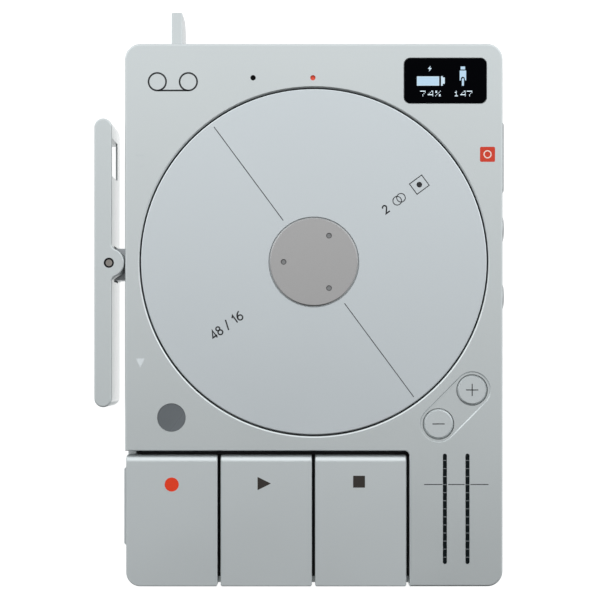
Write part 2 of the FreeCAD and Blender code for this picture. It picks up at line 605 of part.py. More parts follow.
def memo_block(name, start, depth, margin):
    """A block along X with the outline of the long button, larger by a margin all round."""
    block_body = rounded_block(name, around("0", f"memo_width + 2 * {margin}"),
                               around("0", f"memo_length + 2 * {margin}"), ("0", depth),
                               f"memo_corner + {margin}")
    return place(block_body, start, "memo_y", "side_height", AXES["x"])


def side_openings():
    """Everything cut through the four side walls."""
    right = (f"{INNER_RIGHT} - fit_gap", f"{RIGHT} + fit_gap")
    left = (f"{LEFT} - fit_gap", f"{INNER_LEFT} + fit_gap")
    head = (f"{INNER_HEAD} - fit_gap", f"{HEAD} + fit_gap")
    foot = (f"{FOOT} - fit_gap", f"{INNER_FOOT} + fit_gap")
    holes = [memo_block("memo_hole", f"{INNER_RIGHT} - fit_gap", "case_wall + 2 * fit_gap", "run_gap")]
    for y in ("side_button_upper_y", "side_button_lower_y"):
        holes.append(rod("side_hole", "x", (None, y, "side_height"), right, "side_button_radius + run_gap"))
    for jack in range(3):
        x = f"line_jack_x + {jack} * line_jack_pitch"
        holes.append(rod("line_jack_hole", "y", (x, None, "side_height"), head, "line_jack_nose + fit_gap"))
    holes.append(pill("usb_hole", "y", "x", ("usb_x", None, USB_MIDDLE), head,
                      "usb_width + 2 * fit_gap", "usb_height + 2 * fit_gap"))
    holes.append(rod("main_jack_hole", "y", ("main_jack_x", None, "main_jack_height"), foot,
                     "main_jack_nose + fit_gap"))
    holes.append(block("lever_slot", ("lever_x - lever_thickness / 2 - run_gap", LEVER_SLOT_RIGHT), head,
                       around("side_height", "lever_depth + 2 * run_gap")))
    holes.append(block("tongue_slot", left, around(ROCKER_Y, "tongue_width"), (TONGUE_BOTTOM, TONGUE_TOP)))
    holes.append(block("slider_slot", left, SLIDER_SLOT_Y, SLIDER_SLOT_Z))
    return holes


def top_case():
    inside = rounded_block("case_inside", (INNER_LEFT, INNER_RIGHT), (INNER_FOOT, INNER_HEAD),
                           (f"{FLOOR} - fit_gap", CEILING), "corner_radius - case_wall")
    shell = join("case_with_posts", cut("case_shell", case_blank(), inside), *case_posts())
    taps = [rod("case_tap", "z", (x, y, None), (f"{FLOOR} - fit_gap", SCREW_TIP), "screw_radius")
            for x, y in SCREW_PLACES]
    taps += [rod("motor_tap", "z", (x, y, None), (f"{BASE_TOP} - fit_gap", MOTOR_SCREW_TIP),
                 "small_screw_radius") for x, y in MOTOR_PLACES]
    rod_seat = rod("key_rod_seat", "x", (None, PIVOT_Y, PIVOT_Z),
                   (f"{BAY_RIGHT} - fit_gap", f"{BAY_RIGHT} + key_rod_bite"), "key_rod_radius")
    return keep(cut("top_case", shell, *face_openings(), *side_openings(), *taps, rod_seat))


def grille_holes(name, span):
    holes = []
    for column in range(GRILLE_COLUMNS):
        for row in range(GRILLE_ROWS):
            x = f"grille_x + ({column} - ({GRILLE_COLUMNS} - 1) / 2) * grille_pitch"
            y = f"grille_y + ({row} - ({GRILLE_ROWS} - 1) / 2) * grille_pitch"
            holes.append(rod(name, "z", (x, y, None), span, "grille_hole_radius"))
    return holes


def rear_cover():
    """The flat back: a plate with a locating lip, pillars for the main board and a recess for the pad."""
    plate = padded_body("cover_plate", "XY_Plane", rectangle((LEFT, RIGHT), (FOOT, HEAD)),
                        ("cover_rise", FLOOR))
    soften(plate, "Fillet", upright, "corner_radius")
    soften(plate, "Chamfer", on_bottom, "edge_break")
    soften(plate, "Chamfer", on_top, "seam_break")
    lip_outer = rounded_block("lip_outer", (f"{INNER_LEFT} + fit_gap", f"{INNER_RIGHT} - fit_gap"),
                              (f"{INNER_FOOT} + fit_gap", f"{INNER_HEAD} - fit_gap"),
                              (FLOOR, f"{FLOOR} + lip_height"), "corner_radius - case_wall")
    lip_inner = block("lip_inner",
                      (f"{INNER_LEFT} + fit_gap + lip_width", f"{INNER_RIGHT} - fit_gap - lip_width"),
                      (f"{INNER_FOOT} + fit_gap + lip_width", f"{INNER_HEAD} - fit_gap - lip_width"),
                      (FLOOR, f"{FLOOR} + lip_height"))
    boss_room = [rod("lip_relief", "z", (x, y, None), (FLOOR, f"{FLOOR} + lip_height"),
                     "boss_radius + fit_gap") for x, y in SCREW_PLACES]
    lever_room = block("lever_relief", LEVER_HOUSE_X, (LEVER_HOUSE_FOOT, INNER_HEAD),
                       (FLOOR, f"{FLOOR} + lip_height"))
    jack_room = block("jack_relief", around("main_jack_x", "main_jack_side + 2 * fit_gap"),
                      (INNER_FOOT, f"{INNER_FOOT} + 2 * fit_gap + lip_width"),
                      (FLOOR, f"{FLOOR} + lip_height"))
    lip = cut("cover_lip", lip_outer, lip_inner, lever_room, jack_room, *boss_room)
    pillars = [rod("board_pillar", "z", (x, y, None), (FLOOR, "board_level"), "pillar_radius")
               for x, y in PILLAR_PLACES]
    recess = rounded_block("pad_recess", PAD_X, PAD_Y, ("cover_rise - fit_gap", "pad_thickness"),
                           "pad_radius")
    holes = [rod("cover_hole", "z", (x, y, None), ("cover_rise", f"{FLOOR} + fit_gap"),
                 "screw_radius + fit_gap") for x, y in SCREW_PLACES]
    holes += [rod("head_seat", "z", (x, y, None), ("cover_rise - fit_gap", SCREW_SEAT),
                  "screw_head_radius + fit_gap") for x, y in SCREW_PLACES]
    body = join("cover_blank", plate, lip, *pillars)
    grille = grille_holes("cover_grille", ("cover_rise", f"{FLOOR} + fit_gap"))
    return keep(cut("rear_cover", body, recess, *holes, *grille))


def back_pad():
    pad = rounded_block("pad_blank", (f"{PAD_X[0]} + fit_gap", f"{PAD_X[1]} - fit_gap"),
                        (f"{PAD_Y[0]} + fit_gap", f"{PAD_Y[1]} - fit_gap"), ("0", "pad_thickness"),
                        "pad_radius - fit_gap")
    through = ("-fit_gap", "pad_thickness + fit_gap")
    holes = [rod("pad_hole", "z", (x, y, None), through, "pad_hole_radius") for x, y in SCREW_PLACES]
    return keep(cut("back_pad", pad, *holes, *grille_holes("pad_grille", through)))


def case_screws():
    return keep(screws("case_screws", SCREW_PLACES, SCREW_SEAT, "screw_length", "screw_radius",
                       "screw_head_radius", "screw_head_height", False))


def speaker():
    frame = rounded_block("speaker_frame", around("grille_x", "speaker_width"),
                          around("grille_y", "speaker_length"), (FLOOR, f"{FLOOR} + speaker_height"),
                          "speaker_wall")
    cone = DOC.addObject("Part::Cone", "speaker_cone")
    bind(cone, {"Radius1": "cone_radius", "Radius2": "cone_radius / 2", "Height": "speaker_height / 2"})
    place(cone, "grille_x", "grille_y", FLOOR)
    return keep(cut("speaker", frame, cone))


def reel_disc():
    """The reel: a thin disc with bevelled rims and a shallow seat for its cap."""
    low, high = "0", "reel_thickness"
    seat = "hub_radius + hub_gap"
    seat_floor = "(reel_thickness - hub_thickness + hub_rise)"
    points = [("0", low), ("reel_radius - reel_break", low), ("reel_radius", "reel_break"),
              ("reel_radius", f"{high} - reel_slope"), ("reel_radius - reel_break", high),
              (f"{seat} + reel_break / 2", high), (seat, f"{high} - reel_break / 2"),
              (seat, seat_floor), ("0", seat_floor)]
    return keep(turned("reel_disc", points, ("0", "reel_y", BELL_TOP)))


def reel_hub_cap():
    points = [("0", "0"), ("hub_radius", "0"), ("hub_radius", "hub_thickness - hub_break"),
              ("hub_radius - hub_break", "hub_thickness"), ("0", "hub_thickness")]
    cap = turned("hub_blank", points, ("0", "reel_y", f"{FACE} + hub_rise - hub_thickness"))
    holes = []
    for index in range(SPANNER_HOLES):
        angle = 180 + index * 360 / SPANNER_HOLES
        spot = (f"spanner_circle / 2 * cos({angle})", f"reel_y + spanner_circle / 2 * sin({angle})", None)
        holes.append(rod("spanner_hole", "z", spot, (f"{FACE} + hub_rise - spanner_hole_depth",
                                                     f"{FACE} + hub_rise + fit_gap"), "spanner_hole_radius"))
    return keep(cut("reel_hub_cap", cap, *holes))


def rotor_bell():
    """The motor's turning bell, open below, with a bore that grips the shaft."""
    inner = "bell_radius - bell_skirt"
    points = [("shaft_radius", "bell_height - bell_top"), (inner, "bell_height - bell_top"), (inner, "0"),
              ("bell_radius", "0"), ("bell_radius", "bell_height"), ("shaft_radius", "bell_height")]
    return keep(turned("rotor_bell", points, ("0", "reel_y", f"{BELL_TOP} - bell_height")))


def magnet_ring():
    outer = "bell_radius - bell_skirt"
    points = ring_points(f"{outer} - magnet_width", outer, "0", "magnet_height")
    return keep(turned("magnet_ring", points, ("0", "reel_y", f"{BELL_TOP} - bell_top - magnet_height")))


def reel_shaft():
    points = [("0", "0"), ("shaft_radius", "0"), ("shaft_radius", f"{BELL_TOP} - {BASE_BOTTOM}"),
              ("0", f"{BELL_TOP} - {BASE_BOTTOM}")]
    return keep(turned("reel_shaft", points, ("0", "reel_y", BASE_BOTTOM)))


def motor_base():
    """The fixed plate under the motor: a disc with four arms and a tube for the bearings."""
    plate = [rod("base_disc", "z", ("0", "reel_y", None), (BASE_BOTTOM, BASE_TOP), "base_radius")]
    for x, y in MOTOR_PLACES:
        arm = [("-arm_width / 2", "reel_y"), ("arm_width / 2", "reel_y"),
               (f"{x} + arm_width / 2", y), (f"{x} - arm_width / 2", y)]
        plate.append(padded_body("base_arm", "XY_Plane", arm, (BASE_BOTTOM, BASE_TOP)))
        plate.append(rod("arm_end", "z", (x, y, None), (BASE_BOTTOM, BASE_TOP), "arm_end_radius"))
    plate.append(rod("bearing_tube", "z", ("0", "reel_y", None), (BASE_BOTTOM, TUBE_TOP), "tube_radius"))
    centre = ("0", "reel_y", None)
    holes = [
        rod("lower_seat", "z", centre, (f"{BASE_BOTTOM} - fit_gap", f"{BASE_BOTTOM} + bearing_width"),
            "bearing_radius"),
        rod("upper_seat", "z", centre, (f"{TUBE_TOP} - bearing_width", f"{TUBE_TOP} + fit_gap"),
            "bearing_radius"),
        rod("tube_shoulder", "z", centre, (BASE_BOTTOM, TUBE_TOP), "bearing_radius - bearing_ring"),
    ]
    holes += [rod("arm_hole", "z", (x, y, None), (f"{BASE_BOTTOM} - fit_gap", f"{BASE_TOP} + fit_gap"),
                  "small_screw_radius + fit_gap") for x, y in MOTOR_PLACES]
    return keep(cut("motor_base", join("base_blank", *plate), *holes))


def motor_screws():
    length = f"{MOTOR_SCREW_TIP} - {BASE_BOTTOM}"
    return keep(screws("motor_screws", MOTOR_PLACES, BASE_BOTTOM, length, "small_screw_radius",
                       "small_head_radius", "small_head_height", False))


def stator_core():
    """A ring on the bearing tube with one wide-tipped tooth for each coil."""
    low, high = "-core_height / 2", "core_height / 2"
    pieces = [turned("core_ring_blank", ring_points("tube_radius", "tube_radius + core_ring", low, high),
                     ("0", "0", "0"))]
    for tooth in range(STATOR_TEETH):
        turn = Rotation(Vector(0, 0, 1), 360 * tooth / STATOR_TEETH)
        bar = block("tooth_bar", ("tube_radius + core_ring / 2", f"{STATOR_RADIUS} - tooth_tip_height / 2"),
                    around("0", "tooth_width"), (low, high))
        tip = block("tooth_tip", (f"{STATOR_RADIUS} - tooth_tip_height", STATOR_RADIUS),
                    around("0", "tooth_tip_width"), (low, high))
        pieces.append(place(join("tooth", bar, tip), "0", "0", "0", turn))
    envelope = rod("core_envelope", "z", ("0", "0", None), (low, high), STATOR_RADIUS)
    core = DOC.addObject("Part::Common", "stator_core")
    core.Base = join("core_blank", *pieces)
    core.Tool = envelope
    return keep(place(core, "0", "reel_y", STATOR_MIDDLE))


def stator_coils():
    coils = []
    for tooth in range(STATOR_TEETH):
        turn = Rotation(Vector(0, 0, 1), 360 * tooth / STATOR_TEETH)
        length = ("tube_radius + core_ring + coil_end_gap",
                  f"{STATOR_RADIUS} - tooth_tip_height - coil_end_gap")
        outer = block("coil_outer", length, around("0", "tooth_width + 2 * coil_wrap"),
                      around("0", "coil_height"))
        inner = block("coil_inner", length, around("0", "tooth_width"), around("0", "core_height"))
        coils.append(place(cut("coil", outer, inner), "0", "0", "0", turn))
    return keep(place(group("stator_coils", *coils), "0", "reel_y", STATOR_MIDDLE))


def bearing(name, low):
    """A small ball bearing: two rings and the balls between them."""
    bore = "shaft_radius + bearing_bore_gap"
    half = "bearing_width / 2"
    inner = turned(f"{name}_inner", ring_points(bore, f"{bore} + bearing_ring", f"-{half}", half),
                   ("0", "0", "0"))
    outer = turned(f"{name}_outer", ring_points("bearing_radius - bearing_ring", "bearing_radius",
                                                f"-{half}", half), ("0", "0", "0"))
    path = f"((bearing_radius + {bore}) / 2)"
    size = f"((bearing_radius - {bore}) / 2 - bearing_ring - ball_gap)"
    balls = [ball(f"{name}_ball", f"{path} * cos({360 * index / BEARING_BALLS})",
                  f"{path} * sin({360 * index / BEARING_BALLS})", "0", size)
             for index in range(BEARING_BALLS)]
    bearing_set = group(name, inner, outer, *balls)
    return keep(place(bearing_set, "0", "reel_y", f"{low} + {half}"))


def key_left(index):
    return f"({LEFT} + key_inset + {index} * ({KEY_WIDTH} + key_gap))"


def key_middle(index):
    return f"({key_left(index)} + {KEY_WIDTH} / 2)"


def transport_key(name, index):
    """One hollow key: a rounded head edge, a bore for the common rod and a pusher over its switch."""
    left = key_left(index)
    right = f"({left} + {KEY_WIDTH})"
    foot = f"({FOOT} + key_foot_inset)"
    profile = rectangle((foot, KEY_HEAD), (KEY_BOTTOM, FACE))
    blank = padded_body(f"{name}_blank", "YZ_Plane", profile, (left, right))
    if index == 0:
        soften(blank, "Fillet", upright_foot_left, "corner_radius - key_inset")
    soften(blank, "Fillet", upright_foot, "key_corner")
    soften(blank, "Fillet", top_head, "key_round")
    soften(blank, "Chamfer", top_rim, "key_break")
    hollow = block(f"{name}_hollow", (f"{left} + key_skirt", f"{right} - key_skirt"),
                   (f"{foot} + key_skirt", f"{KEY_HEAD} - key_skirt"),
                   (f"{KEY_BOTTOM} - fit_gap", f"{FACE} - key_top"))
    start = f"{left} + key_skirt / 2" if index == 0 else f"{left} - fit_gap"
    bore = rod(f"{name}_bore", "x", (None, PIVOT_Y, PIVOT_Z), (start, f"{right} + fit_gap"),
               "key_rod_radius + key_rod_gap")
    pusher = rod(f"{name}_pusher", "z", (key_middle(index), SWITCH_Y, None),
                 (f"{KEY_SWITCH_TOP} + key_pusher_gap", f"{FACE} - key_top"), "key_pusher_radius")
    return keep(join(name, cut(f"{name}_shell", blank, hollow, bore), pusher))


def key_rod():
    start = f"{key_left(0)} + key_skirt / 2 + fit_gap"
    return keep(rod("key_rod", "x", (None, PIVOT_Y, PIVOT_Z), (start, f"{BAY_RIGHT} + key_rod_bite"),
                    "key_rod_radius"))


def key_frame():
    """The tray under the keys, with one post inside each key that carries the rod."""
    tray = rounded_block("frame_tray", (f"{INNER_LEFT} + fit_gap", f"{BAY_RIGHT} + bay_wall"),
                         (f"{INNER_FOOT} + fit_gap", f"{BAY_HEAD} + bay_wall"), (FRAME_BOTTOM, FRAME_TOP),
                         "corner_radius - case_wall")
    posts = [block("frame_post", around(key_middle(index), "key_post_width"),
                   around(PIVOT_Y, "key_post_length"), (FRAME_TOP, f"{PIVOT_Z} + key_post_rise"))
             for index in range(len(KEYS))]
    bore = rod("frame_bore", "x", (None, PIVOT_Y, PIVOT_Z), (LEFT, BAY_RIGHT), "key_rod_radius")
    return keep(cut("key_frame", join("frame_blank", tray, *posts), bore))


def switch_parts(name, x, y, bottom):
    """A square tact switch with its round cap, standing on a level board."""
    top = f"({bottom} + switch_body_height)"
    return [
        block(f"{name}_body", around(x, "switch_side"), around(y, "switch_side"), (bottom, top)),
        rod(f"{name}_cap", "z", (x, y, None), (top, f"{top} + switch_cap_height"), "switch_cap_radius"),
    ]


def key_board():
    board = block("key_board_blank", (f"{INNER_LEFT} + key_ledge", f"{BAY_RIGHT} - key_ledge"),
                  (f"{INNER_FOOT} + key_ledge", f"{PIVOT_Y} - key_post_length"),
                  (FRAME_TOP, f"{FRAME_TOP} + key_board_thickness"))
    parts = [board]
    for index in range(len(KEYS)):
        parts += switch_parts("key_switch", key_middle(index), SWITCH_Y,
                              f"{FRAME_TOP} + key_board_thickness")
    return keep(join("key_board", *parts))


def wire_spring(name, radius, wire, pitch, turns, start_leg, end_leg):
    """A torsion spring swept along one wire: a straight leg, a helix and a straight leg."""
    helix = Part.makeHelix(pitch, pitch * turns, radius)
    start = Vector(radius, 0, 0)
    turn = Rotation(Vector(0, 0, 1), 360 * turns)
    end = turn.multVec(start) + Vector(0, 0, pitch * turns)
    leg_start = start - Vector(0, start_leg, 0)
    leg_end = end + turn.multVec(Vector(0, end_leg, 0))
    path = Part.Wire([Part.LineSegment(leg_start, start).toShape(), *helix.Edges,
                      Part.LineSegment(end, leg_end).toShape()])
    section = Part.Wire([Part.Circle(leg_start, Vector(0, 1, 0), wire).toShape()])
    item = DOC.addObject("Part::Feature", name)
    item.Shape = path.makePipeShell([section], True, True)
    return item


def key_springs():
    """One torsion spring on the rod in each key, from the tray to the key's underside."""
    springs = []
    standing = AXES["x"].multiply(Rotation(Vector(0, 0, 1), 90))
    for index in range(len(KEYS)):
        spring = wire_spring("key_spring", SHEET.key_spring_radius, SHEET.key_spring_wire,
                             SHEET.key_spring_pitch, SHEET.key_spring_turns,
                             SHEET.case_height - SHEET.key_pivot_depth - frame_top_now(),
                             SHEET.key_spring_leg)
        x = f"{key_middle(index)} + key_post_width / 2 + 2 * key_spring_wire"
        springs.append(place(spring, x, PIVOT_Y, PIVOT_Z, standing))
    return keep(group("key_springs", *springs))


def frame_top_now():
    """The level of the key tray's floor, as a number."""
    sill = SHEET.case_height - SHEET.key_height - SHEET.key_drop
    return sill - SHEET.key_frame_drop + SHEET.key_frame_floor


def volume_button(name, spot, arms):
    """A round button with a flange under the face and an engraved sign."""
    top = "volume_flange_thickness + face_thickness - volume_recess_depth + volume_rise"
    flange = "volume_radius + volume_flange"
    points = [("0", "0"), (flange, "0"), (flange, "volume_flange_thickness"),
              ("volume_radius", "volume_flange_thickness"), ("volume_radius", f"{top} - button_break"),
              ("volume_radius - button_break", top), ("0", top)]
    body = turned(f"{name}_blank", points, (*spot, f"{CEILING} - volume_flange_thickness"))
    level_top = f"({CEILING} + face_thickness - volume_recess_depth + volume_rise)"
    depth = (f"{level_top} - sign_depth", f"{level_top} + fit_gap")
    sides = ("sign_length", "sign_width")
    signs = [block(f"{name}_arm", around(spot[0], sides[arm]), around(spot[1], sides[1 - arm]), depth)
             for arm in range(arms)]
    return keep(cut(name, body, *signs))


def control_board():
    """The board under the volume buttons and the meters, with snap domes and two rows of lights."""
    top = CONTROL_TOP
    board = block("control_board_blank", (f"{BAY_RIGHT} + bay_wall + control_margin",
                                          f"{INNER_RIGHT} - fit_gap"),
                  (f"{METER_MIDDLE} - meter_length / 2 - control_margin", CONTROL_HEAD),
                  (f"{top} - control_board_thickness", top))
    parts = [board]
    for spot in VOLUME_PLACES:
        dome = DOC.addObject("Part::Cone", "snap_dome")
        bind(dome, {"Radius1": "dome_radius", "Radius2": "dome_radius / 2", "Height": "dome_height"})
        parts.append(place(dome, *spot, top))
    for x in ("meter_left_x", "meter_right_x"):
        parts.append(block("light_row", around(x, "meter_width * 2"), around(METER_MIDDLE, "meter_length"),
                           (top, f"{top} + led_height")))
    return keep(join("control_board", *parts))


def meter_guide(name, x):
    """A clear bar in its slot, notched into one short cell for each step; the two end cells are shorter."""
    top = f"({FACE} - meter_sink)"
    bar = pill(f"{name}_bar", "z", "y", (x, METER_MIDDLE, None), (f"{CONTROL_TOP} + led_height", top),
               "meter_length - 2 * meter_gap", "meter_width - 2 * meter_gap")
    notches = []
    for cell in range(1, METER_CELLS):
        y = f"{METER_MIDDLE} + {cell - METER_CELLS / 2} * {METER_STEP}"
        notches.append(block(f"{name}_notch", around(x, "meter_width * 2"), around(y, "meter_cell_groove"),
                             (f"{top} - meter_groove_depth", f"{top} + fit_gap")))
    return keep(cut(name, bar, *notches))


def display_glass():
    size = "glass_gap * 2"
    return keep(rounded_block("display_glass", around("display_x", f"display_width - {size}"),
                              around("display_y", f"display_length - {size}"),
                              (f"{FACE} - glass_thickness", FACE), "display_radius - glass_gap"))


def display_module():
    return keep(block("display_module", around("display_x", "display_width"),
                      around("display_y", "display_length"),
                      (f"{CEILING} - module_thickness", CEILING)))


def front_flex():
    """The thin strip from the display to the status light and the microphone."""
    top = f"({CEILING} - mic_height)"
    strip = block("flex_strip", ("mic_x - mic_side / 2", "display_x - display_width / 2"),
                  around("face_hole_y", "mic_side"), (f"{top} - ribbon_thickness", top))
    chip_side = "light_radius * 4"
    light = block("status_chip", around("light_x", chip_side), around("face_hole_y", chip_side),
                  (top, f"{top} + led_height"))
    return keep(join("front_flex", strip, light))


def microphone():
    spans = (around("mic_x", "mic_side"), around("face_hole_y", "mic_side"))
    can = block("mic_can", *spans, (f"{CEILING} - mic_height", CEILING))
    port = rod("mic_port", "z", ("mic_x", "face_hole_y", None),
               (f"{CEILING} - mic_height / 2", f"{CEILING} + fit_gap"), "mic_hole_radius / 2")
    return keep(cut("microphone", can, port))


def light_pipe():
    return keep(rod("light_pipe", "z", ("light_x", "face_hole_y", None),
                    (f"{CEILING} - mic_height + led_height", f"{FACE} - light_sink"), "light_radius"))


def sensor_window():
    flange = "window_radius + window_flange"
    points = [("0", "-window_flange_thickness"), (flange, "-window_flange_thickness"),
              (flange, "0"), ("window_radius - window_gap", "0"),
              ("window_radius - window_gap", "face_thickness - window_sink"),
              ("0", "face_thickness - window_sink")]
    return keep(turned("sensor_window", points, ("window_x", "window_y", CEILING)))


def sensor_board():
    board = block("sensor_board_blank", around("window_x", "2 * window_radius"),
                  (f"{BAY_HEAD} + bay_wall", "window_y + window_radius"),
                  (f"{SENSOR_TOP} - sensor_board_thickness", SENSOR_TOP))
    chip = block("sensor_chip", around("window_x", "window_radius"), around("window_y", "window_radius"),
                 (SENSOR_TOP, f"{CEILING} - window_flange_thickness"))
    return keep(join("sensor_board", board, chip))


def main_board():
    board = rounded_block("main_board_blank", ("board_left", SIDE_BOARD_INNER), ("board_foot", "board_head"),
                          ("board_level", BOARD_TOP), "pillar_radius")
    chips = []
    for x, y, side in (("-processor_side", "processor_side", "processor_side"),
                       ("memory_side", "processor_side", "memory_side"),
                       ("-processor_side", "-memory_side", "memory_side"),
                       ("processor_side", "-memory_side", "memory_side")):
        height = (BOARD_TOP, f"{BOARD_TOP} + chip_height")
        chips.append(block("chip", around(x, side), around(y, side), height))
    return keep(join("main_board", board, *chips))


def battery():
    return keep(rounded_block("battery", around("battery_x", "battery_width"),
                              around("battery_y", "battery_length"),
                              (FLOOR, f"{FLOOR} + battery_thickness"), "pad_radius"))


def io_board():
    """The board under the head sockets, with the plug that joins it to the main board."""
    board = block("io_board_blank", ("line_jack_x - line_jack_side", "usb_x + usb_width / 2 + fit_gap"),
                  ("board_head - link_depth", f"{INNER_HEAD} - fit_gap - lip_width"),
                  (f"{IO_BOARD_TOP} - io_board_thickness", IO_BOARD_TOP))
    link = block("board_link", around("line_jack_x + line_jack_pitch", "link_width"),
                 ("board_head - link_depth", "board_head"), (IO_BOARD_TOP, "board_level"))
    return keep(join("io_board", board, link))


def line_jack(name, index):
    """A 3.5 mm socket with a round nose in the wall."""
    x = f"(line_jack_x + {index} * line_jack_pitch)"
    body = block(f"{name}_body", around(x, "line_jack_side"), (f"{HEAD} - line_jack_length",
                                                               f"{INNER_HEAD} - fit_gap"),
                 around("side_height", "line_jack_side"))
    nose = rod(f"{name}_nose", "y", (x, None, "side_height"), (f"{INNER_HEAD} - fit_gap",
                                                               f"{HEAD} - fit_gap"), "line_jack_nose")
    bore = rod(f"{name}_bore", "y", (x, None, "side_height"),
               (f"{HEAD} - fit_gap - line_jack_bore_length", HEAD), "line_jack_bore")
    return keep(cut(name, join(f"{name}_blank", body, nose), bore))


def main_jack():
    """The 6.35 mm socket in the foot end."""
    body = block("main_jack_body", around("main_jack_x", "main_jack_side"),
                 (f"{INNER_FOOT} + fit_gap", f"{FOOT} + main_jack_length"),
                 around("main_jack_height", "main_jack_side"))
    nose = rod("main_jack_nose_blank", "y", ("main_jack_x", None, "main_jack_height"),
               (f"{FOOT} + fit_gap", f"{INNER_FOOT} + fit_gap"), "main_jack_nose")
    bore = rod("main_jack_bore_blank", "y", ("main_jack_x", None, "main_jack_height"),
               (FOOT, f"{FOOT} + fit_gap + main_jack_bore_length"), "main_jack_bore")
    return keep(cut("main_jack", join("main_jack_blank", body, nose), bore))


def usb_port():
    """A USB-C receptacle: a thin shell with a tongue, closed at its inner end."""
    at = ("usb_x", None, USB_MIDDLE)
    inner_end = f"{HEAD} - fit_gap - usb_depth"
    shell = pill("usb_shell", "y", "x", at, (inner_end, f"{HEAD} - fit_gap"), "usb_width", "usb_height")
    room = pill("usb_room", "y", "x", at, (f"{inner_end} + usb_wall * 3", HEAD),
                "usb_width - 2 * usb_wall", "usb_height - 2 * usb_wall")
    tongue = block("usb_tongue", around("usb_x", "usb_tongue_width"),
                   (inner_end, f"{HEAD} - fit_gap - usb_wall * 3"), around(USB_MIDDLE, "usb_tongue_height"))
    return keep(join("usb_port", cut("usb_can", shell, room), tongue))


def side_button(name, y):
    """A domed round button with a flange inside the right wall."""
    reach = "side_flange_thickness + run_gap + case_wall + side_rise"
    flange = "side_button_radius + side_flange"
    points = [("0", "0"), (flange, "0"), (flange, "side_flange_thickness"),
              ("side_button_radius", "side_flange_thickness"), ("side_button_radius", reach), ("0", reach)]
    body = turned(name, points, (f"{INNER_RIGHT} - run_gap - side_flange_thickness", y, "side_height"), "x")
    soften(body, "Fillet", on_top, "side_round")
    return keep(body)


def memo_button():
    """The long button above them, as high as the round ones, with rounded corners and a flange."""
    start = f"({INNER_RIGHT} - run_gap - side_flange_thickness)"
    stem = memo_block("memo_stem", start, "side_flange_thickness + run_gap + case_wall + side_rise", "0")
    soften(stem, "Fillet", on_top, "side_round")
    flange = memo_block("memo_flange", start, "side_flange_thickness", "side_flange")
    return keep(join("memo_button", stem, flange))


def side_board():
    """The upright board behind the right-hand buttons, with one switch for each."""
    cap_top = f"({INNER_RIGHT} - run_gap - side_flange_thickness - side_travel - glass_gap)"
    cap_low = f"({cap_top} - switch_cap_height)"
    parts = [block("side_board_blank", (SIDE_BOARD_INNER, f"{SIDE_BOARD_INNER} + side_board_thickness"),
                   ("side_button_lower_y - side_board_margin", "memo_y + side_board_margin"),
                   around("side_height", "switch_side + side_board_margin"))]
    for y in ("memo_y", "side_button_upper_y", "side_button_lower_y"):
        parts.append(block("side_switch", (f"{cap_low} - switch_body_height", cap_low),
                           around(y, "switch_side"), around("side_height", "switch_side")))
        parts.append(rod("side_cap", "x", (None, y, "side_height"), (cap_low, cap_top), "switch_cap_radius"))
    return keep(join("side_board", *parts))


def hold_slider():
    """The slider low on the left side: a ramped thumb plate on a stem through the wall."""
    outer = f"({LEFT} - run_gap - slider_rise)"
    inner = f"({LEFT} - run_gap)"
    low, high = around(SLIDER_Y, "slider_length")
    profile = [(inner, low), (inner, high), (outer, f"{high} - slider_ramp"), (outer, f"{low} + slider_ramp")]
    plate = padded_body("slider_plate", "XY_Plane", profile, around("slider_height", "slider_width"))
    stem = block("slider_stem_block", (inner, f"{INNER_LEFT} + slider_stem_depth"),
                 around(SLIDER_Y, "slider_stem"), around("slider_height", "slider_stem_height"))
    return keep(join("hold_slider", plate, stem))


def slider_switch():
    """The slide switch against the wall, with a channel for the stem's travel."""
    body = block("switch_blank", (INNER_LEFT, f"{INNER_LEFT} + slider_stem_depth + slider_body_depth"),
                 (f"{SLIDER_SLOT_Y[0]} - slider_body_wall", f"{SLIDER_SLOT_Y[1]} + slider_body_wall"),
                 around("slider_height", "slider_body_height"))
    depth = (f"{INNER_LEFT} - fit_gap", f"{INNER_LEFT} + slider_stem_depth + run_gap")
    channel = block("switch_channel", depth, SLIDER_SLOT_Y, SLIDER_SLOT_Z)
    return keep(cut("slider_switch", body, channel))


